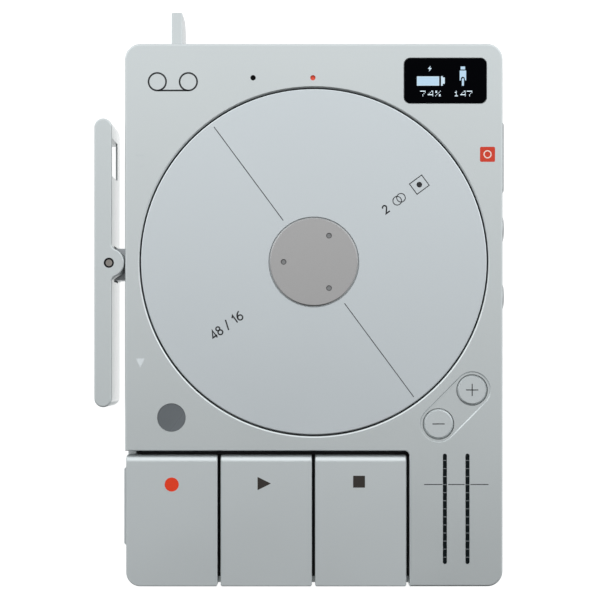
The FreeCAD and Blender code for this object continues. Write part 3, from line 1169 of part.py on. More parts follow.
def rocker_bar():
    """The long side rocker: a full-round bar with a hub, a gap for the bracket and a lanyard eyelet."""
    full = (ROCKER_BACK, ROCKER_FRONT)
    middle_x = f"(({ROCKER_INNER} + {ROCKER_OUTER}) / 2)"
    bar = pill("rocker_blank", "z", "y", (middle_x, ROCKER_Y, None), full, "rocker_length", "rocker_width")
    hub = rod("rocker_hub", "z", (f"{PIN_X} + rocker_hub_shift", ROCKER_Y, None), full, "rocker_hub_radius")
    joined = join("rocker_joined", bar, hub)
    blended = round_edges("rocker_blended", joined, hub_corner, SHEET.rocker_blend)
    solid = round_edges("rocker_solid", blended, on_top_or_bottom, SHEET.rocker_break)
    ears = (f"{ROCKER_BACK} + rocker_ear", f"{ROCKER_FRONT} - rocker_ear")
    gap = block("rocker_gap", (f"{ROCKER_OUTER} + rocker_web", LEFT),
                around(ROCKER_Y, "tongue_width + 2 * tongue_side_gap"), ears)
    hub_relief = block("hub_relief", (ROCKER_INNER, LEFT),
                       around(ROCKER_Y, "2 * rocker_hub_radius + 2 * rocker_blend"), ears)
    pin_spot = (PIN_X, ROCKER_Y, None)
    bore = rod("rocker_bore", "z", pin_spot, (f"{ROCKER_BACK} - fit_gap", f"{ROCKER_FRONT} + fit_gap"),
               "pin_radius + pin_gap")
    well_span = (f"{ROCKER_FRONT} - pin_well_depth", f"{ROCKER_FRONT} + fit_gap")
    well = rod("rocker_well", "z", pin_spot, well_span, "pin_radius + pin_well")
    eyelet_y = (f"{ROCKER_Y} + eyelet_from_pin", f"{ROCKER_Y} + eyelet_from_pin + eyelet_length")
    window_floor = f"({ROCKER_FRONT} - eyelet_front - eyelet_height)"
    window = block("eyelet_window", (f"{ROCKER_OUTER} + eyelet_skin", f"{ROCKER_INNER} + fit_gap"), eyelet_y,
                   (window_floor, f"{ROCKER_FRONT} - eyelet_front"))
    back = block("eyelet_back", (f"{ROCKER_OUTER} + eyelet_skin", f"{ROCKER_INNER} - eyelet_bridge"),
                 eyelet_y, (f"{ROCKER_BACK} - fit_gap", window_floor))
    return keep(cut("rocker_bar", solid, gap, hub_relief, bore, well, window, back))


def rocker_bracket():
    """The bracket behind the left wall, whose tongue reaches out to the rocker's pin."""
    tongue = padded_body("bracket_tongue", "XY_Plane",
                         rectangle((f"{PIN_X} - tongue_nose", f"{INNER_LEFT} + bracket_flange_thickness"),
                                   around(ROCKER_Y, "tongue_width")), (TONGUE_BOTTOM, TONGUE_TOP))
    soften(tongue, "Fillet", upright_left, "tongue_nose")
    flange = block("bracket_flange", (INNER_LEFT, f"{INNER_LEFT} + bracket_flange_thickness"),
                   around(ROCKER_Y, "bracket_flange_width"),
                   around(f"({TONGUE_BOTTOM} + {TONGUE_TOP}) / 2", "bracket_flange_height"))
    bore = rod("bracket_bore", "z", (PIN_X, ROCKER_Y, None), (f"{TONGUE_BOTTOM} - fit_gap",
                                                            f"{TONGUE_TOP} + fit_gap"), "pin_radius")
    return keep(cut("rocker_bracket", join("bracket_blank", tongue, flange), bore))


def rocker_pin():
    return keep(rod("rocker_pin", "z", (PIN_X, ROCKER_Y, None),
                    (f"{ROCKER_BACK} + pin_sink", f"{ROCKER_FRONT} - pin_sink"), "pin_radius"))


def rocker_spring():
    """The coil round the pin, between the tongue and the front ear, that centres the rocker."""
    spring = wire_spring("rocker_spring", SHEET.rocker_spring_radius, SHEET.rocker_spring_wire,
                         SHEET.rocker_spring_pitch, SHEET.rocker_spring_turns,
                         SHEET.rocker_spring_leg, SHEET.rocker_spring_leg)
    return keep(place(spring, PIN_X, ROCKER_Y, f"{TONGUE_TOP} + rocker_spring_wire + fit_gap"))


def power_lever():
    """The blade that stands out of the head end, on a hub with an upright pin."""
    low, high = around("side_height", "lever_depth")
    tip = f"({HEAD} + lever_reach)"
    profile = [(LEVER_Y, low), (f"{tip} - lever_slant", low), (tip, f"{low} + lever_slant_rise"),
               (tip, high), (LEVER_Y, high)]
    blade = padded_body("lever_blade", "YZ_Plane", profile, around("lever_x", "lever_thickness"))
    soften(blade, "Fillet", blade_side, "lever_break")
    hub = rod("lever_hub", "z", ("lever_x", LEVER_Y, None), (low, high), "lever_hub_radius")
    bore = rod("lever_bore", "z", ("lever_x", LEVER_Y, None), (f"{low} - fit_gap", f"{high} + fit_gap"),
               "lever_pin_radius + pin_gap")
    return keep(cut("power_lever", join("lever_blank", blade, hub), bore))


def lever_housing():
    """The fork against the head wall that holds the lever's pin at both ends."""
    outer = block("housing_outer", LEVER_HOUSE_X, (LEVER_HOUSE_FOOT, INNER_HEAD),
                  around("side_height", "lever_depth + 2 * run_gap + 2 * lever_house_wall"))
    inner = block("housing_inner", ("lever_x - lever_hub_radius - run_gap", LEVER_SLOT_RIGHT),
                  (f"{LEVER_Y} - lever_hub_radius - run_gap", f"{INNER_HEAD} + fit_gap"),
                  around("side_height", "lever_depth + 2 * run_gap"))
    bore = rod("housing_bore", "z", ("lever_x", LEVER_Y, None),
               around("side_height", "lever_depth + 4 * lever_house_wall"), "lever_pin_radius")
    return keep(cut("lever_housing", outer, inner, bore))


def lever_pin():
    return keep(rod("lever_pin", "z", ("lever_x", LEVER_Y, None),
                    around("side_height", "lever_depth + 2 * run_gap + 2 * lever_house_wall"),
                    "lever_pin_radius"))


def check_model():
    """Stops at a failed object or at a sub-part with no sound shape."""
    DOC.recompute()
    failed = [item.Name for item in DOC.Objects if {"Invalid", "Error"} & set(item.State)]
    if failed:
        raise RuntimeError(f"failed objects: {failed}")
    for node in NODES:
        if node.Shape.isNull() or not node.Shape.isValid() or not node.Shape.Solids:
            raise RuntimeError(f"unsound shape: {node.Label}")


def write_parts():
    os.makedirs("parts", exist_ok=True)
    for node in NODES:
        node.Shape.exportStep(os.path.join("parts", f"{node.Label}.step"))
        print(f"{node.Label}: {len(node.Shape.Solids)} solid(s), {node.Shape.Volume:.1f} cubic mm")


def build():
    fill_sheet()
    for piece in (top_case, rear_cover, back_pad, case_screws, speaker, battery, main_board, io_board,
                  reel_disc, reel_hub_cap, rotor_bell, magnet_ring, reel_shaft, motor_base, motor_screws,
                  stator_core, stator_coils, key_frame, key_rod, key_board, key_springs, control_board,
                  display_glass, display_module, front_flex, microphone, light_pipe, sensor_window,
                  sensor_board, main_jack, usb_port, memo_button, side_board, hold_slider, slider_switch,
                  rocker_bar, rocker_bracket, rocker_pin, rocker_spring, power_lever, lever_housing,
                  lever_pin):
        piece()
    for index, name in enumerate(KEYS):
        transport_key(name, index)
    for name, spot, arms in zip(("minus_button", "plus_button"), VOLUME_PLACES, (1, 2)):
        volume_button(name, spot, arms)
    for side in ("left", "right"):
        meter_guide(f"meter_guide_{side}", f"meter_{side}_x")
    for side in ("upper", "lower"):
        side_button(f"side_button_{side}", f"side_button_{side}_y")
    for index in range(3):
        line_jack(f"line_jack_{index + 1}", index)
    bearing("lower_bearing", BASE_BOTTOM)
    bearing("upper_bearing", f"{TUBE_TOP} - bearing_width")
    check_model()
    write_parts()


build()
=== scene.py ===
# %% [markdown]
# # A pocket field recorder, dressed for its picture
# The construction of this recorder comes ready made: a deep aluminium shell, a flat back, a turning
# reel, three transport keys, a long rocker on the left and a row of buttons on the right. This lesson
# adds what the eye sees: the finishes, the printed marks, the lit display and the studio. Everything stays
# in the frame of the construction: +Z leaves the face, +Y is the head end with the display, and the origin
# is on the table under the middle of the back.

# %% Load the recorder
import json
import math

import bmesh
import bpy
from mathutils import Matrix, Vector


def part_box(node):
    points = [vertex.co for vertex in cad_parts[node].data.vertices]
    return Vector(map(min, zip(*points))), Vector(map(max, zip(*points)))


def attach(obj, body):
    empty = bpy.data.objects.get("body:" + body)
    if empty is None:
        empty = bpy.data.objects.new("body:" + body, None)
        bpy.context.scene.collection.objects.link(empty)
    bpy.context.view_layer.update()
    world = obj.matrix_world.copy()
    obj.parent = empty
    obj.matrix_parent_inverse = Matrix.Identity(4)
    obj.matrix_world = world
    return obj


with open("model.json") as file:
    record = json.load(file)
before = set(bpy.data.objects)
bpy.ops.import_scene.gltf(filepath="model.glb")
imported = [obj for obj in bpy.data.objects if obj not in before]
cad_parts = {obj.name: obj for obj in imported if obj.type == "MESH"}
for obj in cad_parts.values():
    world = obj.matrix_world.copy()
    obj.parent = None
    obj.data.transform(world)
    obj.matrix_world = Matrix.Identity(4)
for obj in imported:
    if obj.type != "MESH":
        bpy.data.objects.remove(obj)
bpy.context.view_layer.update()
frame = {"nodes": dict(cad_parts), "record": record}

# %% [markdown]
# ## Lengths to work with
# A maker thinks in millimetres, so one name turns them into the scene's metres. The levels of the face, the
# reel and the display are read from the pieces themselves, so a mark always lies on its part.

# %% Read the main places
MM = 0.001


def middle(node):
    """The middle of a piece's box."""
    low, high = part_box(node)
    return (low + high) / 2


def top_of(node):
    """The height of a piece's top."""
    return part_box(node)[1].z


case_low, case_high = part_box("top_case")
FACE = case_high.z
LEFT, RIGHT = case_low.x, case_high.x
FOOT, HEAD = case_low.y, case_high.y
reel_middle = middle("reel_disc")
print(f"face at {FACE / MM:.2f} mm, case {(RIGHT - LEFT) / MM:.1f} by {(HEAD - FOOT) / MM:.1f} mm")

# %% [markdown]
# ## The camera
# A catalogue picture of a flat recorder is taken from straight above. The lens stands over a point a
# little left of the middle and towards the foot, which is why the inner face of the rocker shows and why
# its head end slants. The film is shifted towards the head to frame the whole recorder, and a long lens
# keeps the sides of the case nearly hidden.

# %% Stand the camera over the face
PICTURE_WIDTH = 106.1 * MM
PICTURE_MIDDLE = Vector((-2.45, 2.67)) * MM
LENS_PLACE = Vector((-2.45, -8.0)) * MM
LENS_HEIGHT = 300 * MM
NEAREST = 10 * MM
SENSOR = 36
camera_data = bpy.data.cameras.new("overhead_lens")
camera_data.sensor_width = SENSOR
camera_data.lens = SENSOR * LENS_HEIGHT / PICTURE_WIDTH
camera_data.clip_start = NEAREST
camera_data.shift_y = (PICTURE_MIDDLE.y - LENS_PLACE.y) / PICTURE_WIDTH
camera = bpy.data.objects.new("overhead_camera", camera_data)
camera.location = (LENS_PLACE.x, LENS_PLACE.y, FACE + LENS_HEIGHT)
bpy.context.scene.collection.objects.link(camera)
bpy.context.scene.camera = camera
print(f"lens {camera_data.lens:.1f} mm at {camera.location.z / MM:.0f} mm")

# %% [markdown]
# ## The studio
# The table is a plain pale sheet with a square of light under the recorder, as a product table has, so that
# it stays white round the recorder and falls to a soft grey further out. Bevels that look sideways show that
# grey, which draws a thin darker line round every outer edge. The light is soft: a tent all round that is
# brightest beyond the head end, brighter at the sides than above and dim beyond the foot, and one wide panel
# overhead. A blasted face shows such a tent as a slow fall from light at the head to darker at the foot.
# Plain display values are used, without a film curve.

# %% Lay the table with its square of light
TABLE_SIZE = 3.0
TABLE_TONE = 0.3
TABLE_DROP = 0.02 * MM
GLOW = 0.9
GLOW_HALF, GLOW_EDGE = 58 * MM, 95 * MM


def glow_of_the_table(tree):
    """Full inside a square under the recorder and fading to nothing outside it."""
    place = tree.nodes.new("ShaderNodeTexCoord")
    split = tree.nodes.new("ShaderNodeSeparateXYZ")
    tree.links.new(place.outputs["Object"], split.inputs["Vector"])
    both = tree.nodes.new("ShaderNodeMath")
    both.operation = "MULTIPLY"
    for number, axis in enumerate("XY"):
        away = tree.nodes.new("ShaderNodeMath")
        away.operation = "SUBTRACT"
        away.inputs[1].default_value = PICTURE_MIDDLE[number]
        size = tree.nodes.new("ShaderNodeMath")
        size.operation = "ABSOLUTE"
        fade = tree.nodes.new("ShaderNodeMapRange")
        fade.interpolation_type = "SMOOTHSTEP"
        fade.inputs["From Min"].default_value = GLOW_HALF
        fade.inputs["From Max"].default_value = GLOW_EDGE
        fade.inputs["To Min"].default_value = 1.0
        fade.inputs["To Max"].default_value = 0.0
        tree.links.new(split.outputs[axis], away.inputs[0])
        tree.links.new(away.outputs["Value"], size.inputs[0])
        tree.links.new(size.outputs["Value"], fade.inputs["Value"])
        tree.links.new(fade.outputs["Result"], both.inputs[number])
    strength = tree.nodes.new("ShaderNodeMath")
    strength.operation = "MULTIPLY"
    strength.inputs[1].default_value = GLOW
    tree.links.new(both.outputs["Value"], strength.inputs[0])
    return strength.outputs["Value"]


def pale_table():
    """A plain sheet just under the recorder's back."""
    mesh = bpy.data.meshes.new("table")
    half = TABLE_SIZE / 2
    corners = [(-half, -half, 0), (half, -half, 0), (half, half, 0), (-half, half, 0)]
    mesh.from_pydata(corners, [], [(0, 1, 2, 3)])
    table = bpy.data.objects.new("table", mesh)
    bpy.context.scene.collection.objects.link(table)
    table.location.z = -TABLE_DROP
    paint = bpy.data.materials.new("table_paint")
    paint.use_nodes = True
    shader = paint.node_tree.nodes["Principled BSDF"]
    shader.inputs["Base Color"].default_value = (TABLE_TONE, TABLE_TONE, TABLE_TONE, 1)
    shader.inputs["Roughness"].default_value = 0.9
    shader.inputs["Specular IOR Level"].default_value = 0.1
    shader.inputs["Emission Color"].default_value = (1, 1, 1, 1)
    paint.node_tree.links.new(glow_of_the_table(paint.node_tree), shader.inputs["Emission Strength"])
    mesh.materials.append(paint)


pale_table()
print(f"table {TABLE_SIZE:.0f} m wide, lit over {2 * GLOW_HALF / MM:.0f} mm")

# %% Helpers for the tent and the panel
TENT_LIGHT = 4.0


def light_over(tree, reach, steps):
    """Light that follows one reach of the direction, given as (reach from -1 to 1, strength) steps."""
    growth = tree.nodes.new("ShaderNodeFloatCurve")
    curve = growth.mapping.curves[0]
    curve.points[0].location = (0, steps[0][1] / TENT_LIGHT)
    curve.points[1].location = (1, steps[-1][1] / TENT_LIGHT)
    for spot, strength in steps[1:-1]:
        curve.points.new((spot + 1) / 2, strength / TENT_LIGHT)
    for point in curve.points:
        point.handle_type = "VECTOR"
    growth.mapping.update()
    place = tree.nodes.new("ShaderNodeMath")
    place.operation = "MULTIPLY_ADD"
    place.inputs[1].default_value = 0.5
    place.inputs[2].default_value = 0.5
    light = tree.nodes.new("ShaderNodeMath")
    light.operation = "MULTIPLY"
    light.inputs[1].default_value = TENT_LIGHT
    tree.links.new(reach, place.inputs[0])
    tree.links.new(place.outputs["Value"], growth.inputs["Value"])
    tree.links.new(growth.outputs["Value"], light.inputs[0])
    return light.outputs["Value"]


def studio_tent(along, across):
    """A tent whose light grows towards the head end and again towards the two sides."""
    tent = bpy.data.worlds.new("studio_tent")
    tent.use_nodes = True
    tree = tent.node_tree
    direction = tree.nodes.new("ShaderNodeTexCoord")
    split = tree.nodes.new("ShaderNodeSeparateXYZ")
    total = tree.nodes.new("ShaderNodeMath")
    total.operation = "ADD"
    tree.links.new(direction.outputs["Generated"], split.inputs["Vector"])
    tree.links.new(light_over(tree, split.outputs["Y"], along), total.inputs[0])
    tree.links.new(light_over(tree, split.outputs["X"], across), total.inputs[1])
    tree.links.new(total.outputs["Value"], tree.nodes["Background"].inputs["Strength"])
    tree.nodes["Background"].inputs["Color"].default_value = (0.95, 0.98, 1.0, 1)
    bpy.context.scene.world = tent


def soft_panel(name, place, aim, width, height, power):
    """One wide studio panel, turned towards a point."""
    data = bpy.data.lights.new(name, "AREA")
    data.shape = "RECTANGLE"
    data.size = width
    data.size_y = height
    data.energy = power
    panel = bpy.data.objects.new(name, data)
    panel.location = place
    panel.rotation_euler = (Vector(aim) - Vector(place)).to_track_quat("-Z", "Y").to_euler()
    bpy.context.scene.collection.objects.link(panel)


# %% Light the studio
FOOT_TO_HEAD = ((-1.0, 0.0), (-0.7, 0.03), (-0.4, 0.12), (-0.15, 0.2), (0.0, 0.42), (0.35, 1.25), (0.7, 1.45),
                (1.0, 1.35))
LEFT_TO_RIGHT = ((-1.0, 0.5), (-0.7, 0.5), (-0.3, 0.0), (0.3, 0.0), (0.7, 0.6), (1.0, 0.6))
studio_tent(FOOT_TO_HEAD, LEFT_TO_RIGHT)
PANEL_PLACE = (0, 0.25, 0.95)
PANEL_WIDTH, PANEL_HEIGHT, PANEL_POWER = 1.4, 0.9, 1.2
soft_panel("head_panel", PANEL_PLACE, (0, 0, 0), PANEL_WIDTH, PANEL_HEIGHT, PANEL_POWER)
bpy.context.scene.view_settings.view_transform = "Standard"
print("a tent and one panel")

# %% [markdown]
# ## Bead-blasted aluminium
# The case, keys and reel are machined aluminium, blasted with fine beads and anodised. Up close that skin
# is a field of tiny dimples, and over a hand's width it is never quite even. So the finish has two
# scales of noise: a fine one that dimples the surface and speckles its tone, and a broad one that lets
# the gloss drift. Metal keeps the soft sheen that paint would lose. The flank of the rocker and of the
# power lever that looks to the right gets a gloss of its own and a painted tone: a painted highlight on
# the rocker's flank and painted shade on the lever's.

# %% Helpers for finishes
def new_finish(name):
    """An empty finish, its tree of nodes and its shader."""
    finish = bpy.data.materials.new(name)
    finish.use_nodes = True
    return finish, finish.node_tree, finish.node_tree.nodes["Principled BSDF"]


def noise(tree, scale, detail=4.0):
    """Noise over the piece's own coordinates, in cycles per metre."""
    place = tree.nodes.new("ShaderNodeTexCoord")
    texture = tree.nodes.new("ShaderNodeTexNoise")
    texture.inputs["Scale"].default_value = scale
    texture.inputs["Detail"].default_value = detail
    tree.links.new(place.outputs["Object"], texture.inputs["Vector"])
    return texture.outputs["Fac"]


def spread(tree, source, low, high):
    """Maps a noise onto a range of values."""
    node = tree.nodes.new("ShaderNodeMapRange")
    node.inputs["From Min"].default_value = 0.3
    node.inputs["From Max"].default_value = 0.7
    node.inputs["To Min"].default_value = low
    node.inputs["To Max"].default_value = high
    tree.links.new(source, node.inputs["Value"])
    return node.outputs["Result"]


def tone(tree, source, dark, light):
    """A colour that runs from dark to light with a noise."""
    ramp = tree.nodes.new("ShaderNodeValToRGB")
    ramp.color_ramp.elements[0].position = 0.3
    ramp.color_ramp.elements[1].position = 0.7
    ramp.color_ramp.elements[0].color = (*dark, 1)
    ramp.color_ramp.elements[1].color = (*light, 1)
    tree.links.new(source, ramp.inputs["Fac"])
    return ramp.outputs["Color"]


def dimple(tree, shader, source, strength, depth):
    """Presses a noise into the surface."""
    bump = tree.nodes.new("ShaderNodeBump")
    bump.inputs["Strength"].default_value = strength
    bump.inputs["Distance"].default_value = depth
    tree.links.new(source, bump.inputs["Height"])
    tree.links.new(bump.outputs["Normal"], shader.inputs["Normal"])


def shaded(colour, factor):
    """A colour made darker or lighter."""
    return tuple(channel * factor for channel in colour)


# %% Mix the aluminium finishes
def blasted(name, colour, roughness, metallic=0.85, speckle=0.03):
    """Bead-blasted, anodised metal with a fine speckle and a slow drift of gloss."""
    finish, tree, shader = new_finish(name)
    fine = noise(tree, 9000, 3)
    broad = noise(tree, 45, 2)
    tree.links.new(tone(tree, fine, shaded(colour, 1 - speckle), shaded(colour, 1 + speckle)),
                   shader.inputs["Base Color"])
    tree.links.new(spread(tree, broad, roughness - 0.03, roughness + 0.03), shader.inputs["Roughness"])
    shader.inputs["Metallic"].default_value = metallic
    dimple(tree, shader, fine, 0.12, 0.01 * MM)
    return finish


def paint_flank_light(finish, colour, roughness):
    """Paints a tone of light or shade onto the flank that looks to the right and gives that flank its own
    gloss.
    """
    tree = finish.node_tree
    shader = tree.nodes["Principled BSDF"]
    place = tree.nodes.new("ShaderNodeTexCoord")
    split = tree.nodes.new("ShaderNodeSeparateXYZ")
    facing = tree.nodes.new("ShaderNodeMapRange")
    facing.inputs["From Min"].default_value = 0.85
    facing.inputs["From Max"].default_value = 0.95
    tree.links.new(place.outputs["Normal"], split.inputs["Vector"])
    tree.links.new(split.outputs["X"], facing.inputs["Value"])
    for socket, data_type, flank_value in (("Base Color", "RGBA", (*colour, 1)),
                                      ("Roughness", "FLOAT", roughness)):
        mix = tree.nodes.new("ShaderNodeMix")
        mix.data_type = data_type
        first, second, result = {"RGBA": (6, 7, 2), "FLOAT": (2, 3, 0)}[data_type]
        tree.links.new(facing.outputs["Result"], mix.inputs["Factor"])
        tree.links.new(shader.inputs[socket].links[0].from_socket, mix.inputs[first])
        mix.inputs[second].default_value = flank_value
        tree.links.new(mix.outputs[result], shader.inputs[socket])
    return finish


CASE_COLOUR = (0.585, 0.615, 0.615)
# Painted tones of the right flanks: a painted highlight on the rocker's, painted shade on the lever's.
FLANK_PAINTED_HIGHLIGHT = (0.80, 0.82, 0.82)
FLANK_PAINTED_SHADE = (0.475, 0.495, 0.50)
finishes = {
    "anodised_case": blasted("case_aluminium", CASE_COLOUR, 0.36),
    "anodised_key": blasted("key_aluminium", (0.588, 0.617, 0.620), 0.45),
    "anodised_reel": blasted("reel_aluminium", (0.60, 0.635, 0.65), 0.40),
    "hub_metal": blasted("cap_aluminium", (0.425, 0.415, 0.41), 0.30),
    "anodised_rocker": paint_flank_light(blasted("rocker_aluminium", CASE_COLOUR, 0.42), FLANK_PAINTED_HIGHLIGHT, 0.24),
    "bracket_metal": blasted("bracket_aluminium", (0.66, 0.68, 0.70), 0.5),
    "motor_aluminium": blasted("motor_aluminium", (0.45, 0.46, 0.47), 0.4),
}
print(f"{len(finishes)} aluminium finishes")

# %% [markdown]
# ## Steel, glass, plastic, copper and boards
# Steel pins are ground, so their noise is stretched along one axis into fine lines. The display glass is
# nearly black and polished. The moulded plastics have a soft spark-eroded grain. Copper windings are
# bands of wire, and the boards carry a dark green mask over faint tracks.

# %% Mix the other finishes
def ground_steel(name, colour, roughness):
    """Steel with fine lines along its axis, as a grinding wheel leaves them."""
    finish, tree, shader = new_finish(name)
    place = tree.nodes.new("ShaderNodeTexCoord")
    stretch = tree.nodes.new("ShaderNodeMapping")
    stretch.inputs["Scale"].default_value = (1, 1, 40)
    lines = tree.nodes.new("ShaderNodeTexNoise")
    lines.inputs["Scale"].default_value = 1500
    tree.links.new(place.outputs["Object"], stretch.inputs["Vector"])
    tree.links.new(stretch.outputs["Vector"], lines.inputs["Vector"])
    tree.links.new(tone(tree, lines.outputs["Fac"], shaded(colour, 0.85), shaded(colour, 1.1)),
                   shader.inputs["Base Color"])
    tree.links.new(spread(tree, lines.outputs["Fac"], roughness - 0.05, roughness + 0.05),
                   shader.inputs["Roughness"])
    shader.inputs["Metallic"].default_value = 1.0
    return finish


def moulded(name, colour, roughness, gloss=0.5):
    """Plastic, cloth, magnet or a black sheet of painted shade, with a fine grain; less gloss for cloth."""
    finish, tree, shader = new_finish(name)
    fine = noise(tree, 4000, 4)
    tree.links.new(tone(tree, fine, shaded(colour, 0.88), shaded(colour, 1.12)),
                   shader.inputs["Base Color"])
    tree.links.new(spread(tree, noise(tree, 120, 2), roughness - 0.04, roughness + 0.04),
                   shader.inputs["Roughness"])
    shader.inputs["Specular IOR Level"].default_value = gloss
    dimple(tree, shader, fine, 0.2, 0.02 * MM)
    return finish


def polished(name, colour, roughness, coat, gloss=0.5):
    """Glass or clear-coated plastic, with the faintest unevenness of a wiped surface."""
    finish, tree, shader = new_finish(name)
    smear = noise(tree, 90, 3)
    tree.links.new(tone(tree, smear, shaded(colour, 0.9), shaded(colour, 1.1)), shader.inputs["Base Color"])
    tree.links.new(spread(tree, smear, roughness * 0.7, roughness * 1.3), shader.inputs["Roughness"])
    shader.inputs["Specular IOR Level"].default_value = gloss
    shader.inputs["Coat Weight"].default_value = coat
    shader.inputs["Coat Roughness"].default_value = 0.04
    return finish


def wound_copper(name):
    """Copper wire wound in even turns."""
    finish, tree, shader = new_finish(name)
    place = tree.nodes.new("ShaderNodeTexCoord")
    wire = tree.nodes.new("ShaderNodeTexWave")
    wire.inputs["Scale"].default_value = 900
    wire.bands_direction = "Z"
    tree.links.new(place.outputs["Object"], wire.inputs["Vector"])
    tree.links.new(tone(tree, wire.outputs["Fac"], (0.30, 0.09, 0.03), (0.75, 0.32, 0.13)),
                   shader.inputs["Base Color"])
    shader.inputs["Metallic"].default_value = 0.9
    shader.inputs["Roughness"].default_value = 0.35
    dimple(tree, shader, wire.outputs["Fac"], 0.6, 0.05 * MM)
    return finish


def circuit_board(name):
    """A dark green mask with faint tracks under it."""
    finish, tree, shader = new_finish(name)
    place = tree.nodes.new("ShaderNodeTexCoord")
    tracks = tree.nodes.new("ShaderNodeTexBrick")
    tracks.inputs["Scale"].default_value = 260
    tracks.inputs["Color1"].default_value = (0.010, 0.022, 0.018, 1)
    tracks.inputs["Color2"].default_value = (0.008, 0.018, 0.015, 1)
    tracks.inputs["Mortar"].default_value = (0.020, 0.048, 0.036, 1)
    tracks.inputs["Mortar Size"].default_value = 0.04
    tree.links.new(place.outputs["Object"], tracks.inputs["Vector"])
    tree.links.new(tracks.outputs["Color"], shader.inputs["Base Color"])
    shader.inputs["Roughness"].default_value = 0.35
    dimple(tree, shader, tracks.outputs["Fac"], 0.2, 0.02 * MM)
    return finish


def grained_pad(name):
    """The soft pad of the back: small closed cells, like fine leather."""
    finish, tree, shader = new_finish(name)
    place = tree.nodes.new("ShaderNodeTexCoord")
    cells = tree.nodes.new("ShaderNodeTexVoronoi")
    cells.inputs["Scale"].default_value = 1600
    tree.links.new(place.outputs["Object"], cells.inputs["Vector"])
    tree.links.new(tone(tree, cells.outputs["Distance"], (0.030, 0.030, 0.032), (0.060, 0.060, 0.064)),
                   shader.inputs["Base Color"])
    shader.inputs["Roughness"].default_value = 0.62
    dimple(tree, shader, cells.outputs["Distance"], 0.5, 0.05 * MM)
    return finish


def lit(name, colour, strength):
    """A piece that gives its own light, a little uneven like a real diffuser."""
    finish, tree, shader = new_finish(name)
    cloud = noise(tree, 2500, 2)
    tree.links.new(tone(tree, cloud, shaded(colour, 0.94), colour), shader.inputs["Base Color"])
    shader.inputs["Emission Color"].default_value = (*colour, 1)
    shader.inputs["Emission Strength"].default_value = strength
    shader.inputs["Roughness"].default_value = 0.4
    return finish


finishes.update({
    "soft_back": grained_pad("back_pad_grain"),
    "black_glass": polished("display_black", (0.0008, 0.0009, 0.0017), 0.08, 0.0, 0.01),
    "smoked_window": polished("window_smoke", (0.108, 0.120, 0.129), 0.25, 0.2),
    "meter_black": polished("meter_dark", (0.003, 0.006, 0.007), 0.15, 0.0, 0.1),
    "status_red": lit("status_glow", (0.85, 0.075, 0.03), 0.3),
    "pin_steel": ground_steel("ground_pin", (0.30, 0.275, 0.25), 0.35),
    "rod_steel": ground_steel("blackened_rod", (0.05, 0.05, 0.055), 0.5),
    "spring_steel": ground_steel("drawn_wire", (0.5, 0.5, 0.5), 0.3),
    "bearing_steel": ground_steel("bearing_polish", (0.75, 0.75, 0.75), 0.12),
    "bell_steel": ground_steel("bell_plate", (0.42, 0.42, 0.43), 0.3),
    "core_steel": ground_steel("lamination", (0.20, 0.21, 0.24), 0.45),
    "can_metal": ground_steel("plated_can", (0.6, 0.57, 0.48), 0.3),
    "plug_metal": ground_steel("plated_shell", (0.62, 0.62, 0.63), 0.25),
    "magnet": moulded("bonded_magnet", (0.07, 0.07, 0.075), 0.6),
    "copper": wound_copper("coil_copper"),
    "board": circuit_board("board_mask"),
    "cell_wrap": moulded("cell_wrap", (0.14, 0.14, 0.16), 0.4),
    "inner_plastic": moulded("inner_plastic", (0.26, 0.27, 0.28), 0.5),
    "module_black": moulded("module_black", (0.015, 0.015, 0.016), 0.5),
    "flex_amber": polished("flex_amber", (0.50, 0.24, 0.05), 0.3, 0.1),
    "jack_black": moulded("jack_black", (0.02, 0.02, 0.022), 0.45),
})
print(f"{len(finishes)} finishes in all")

# %% [markdown]
# ## Dress the construction
# Each construction piece already knows its material slot, so dressing it is a matter of looking up the
# finish. Four pieces are dressed apart from their slot: the right flank of the power lever carries painted
# shade where the rocker's carries a painted highlight, and the three side buttons are painted a darker
# tone as painted shade. The pieces bring the true surface directions of their curved faces with them, so
# their bevels and rounds already shade smoothly and their meshes are left alone.

# %% Give every construction piece its finish
# Painted shade: the side buttons get a darker tone than the case.
SIDE_SHADE_COLOUR = (0.43, 0.45, 0.455)
slot_of = {part["node"]: part["material_slot"] for part in frame["record"]["subparts"]}
side_shade_finish = blasted("side_button_shaded", SIDE_SHADE_COLOUR, 0.36)
lever_finish = paint_flank_light(blasted("lever_aluminium", CASE_COLOUR, 0.36), FLANK_PAINTED_SHADE, 0.36)
finish_of = {"power_lever": lever_finish, "memo_button": side_shade_finish,
             "side_button_upper": side_shade_finish, "side_button_lower": side_shade_finish}
for name, piece in frame["nodes"].items():
    piece.data.materials.clear()
    piece.data.materials.append(finish_of.get(name, finishes[slot_of[name]]))
print("dressed", ", ".join(sorted(frame["nodes"])[:6]), "and the rest")

# %% [markdown]
# ## Ink that has a thickness
# The marks on the face are screen printed: a film of ink a hundredth of a millimetre thick. A texture
# would need a picture, so each mark is built as a very thin plate instead, sunk a little into the face.
# Three helpers are enough: one lays a filled outline, one lays a ribbon along a line, and one lays a
# ring. Every added piece then rides on the body that it is printed on, so it moves with it.

# %% Helpers for printed marks
INK = 0.012 * MM
SINK = 0.004 * MM


def add_piece(name, mesh, body, finish):
    """Puts a mesh into the scene, dresses it and lets it ride on a body."""
    piece = bpy.data.objects.new(name, mesh)
    bpy.context.scene.collection.objects.link(piece)
    mesh.materials.append(finish)
    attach(piece, body)


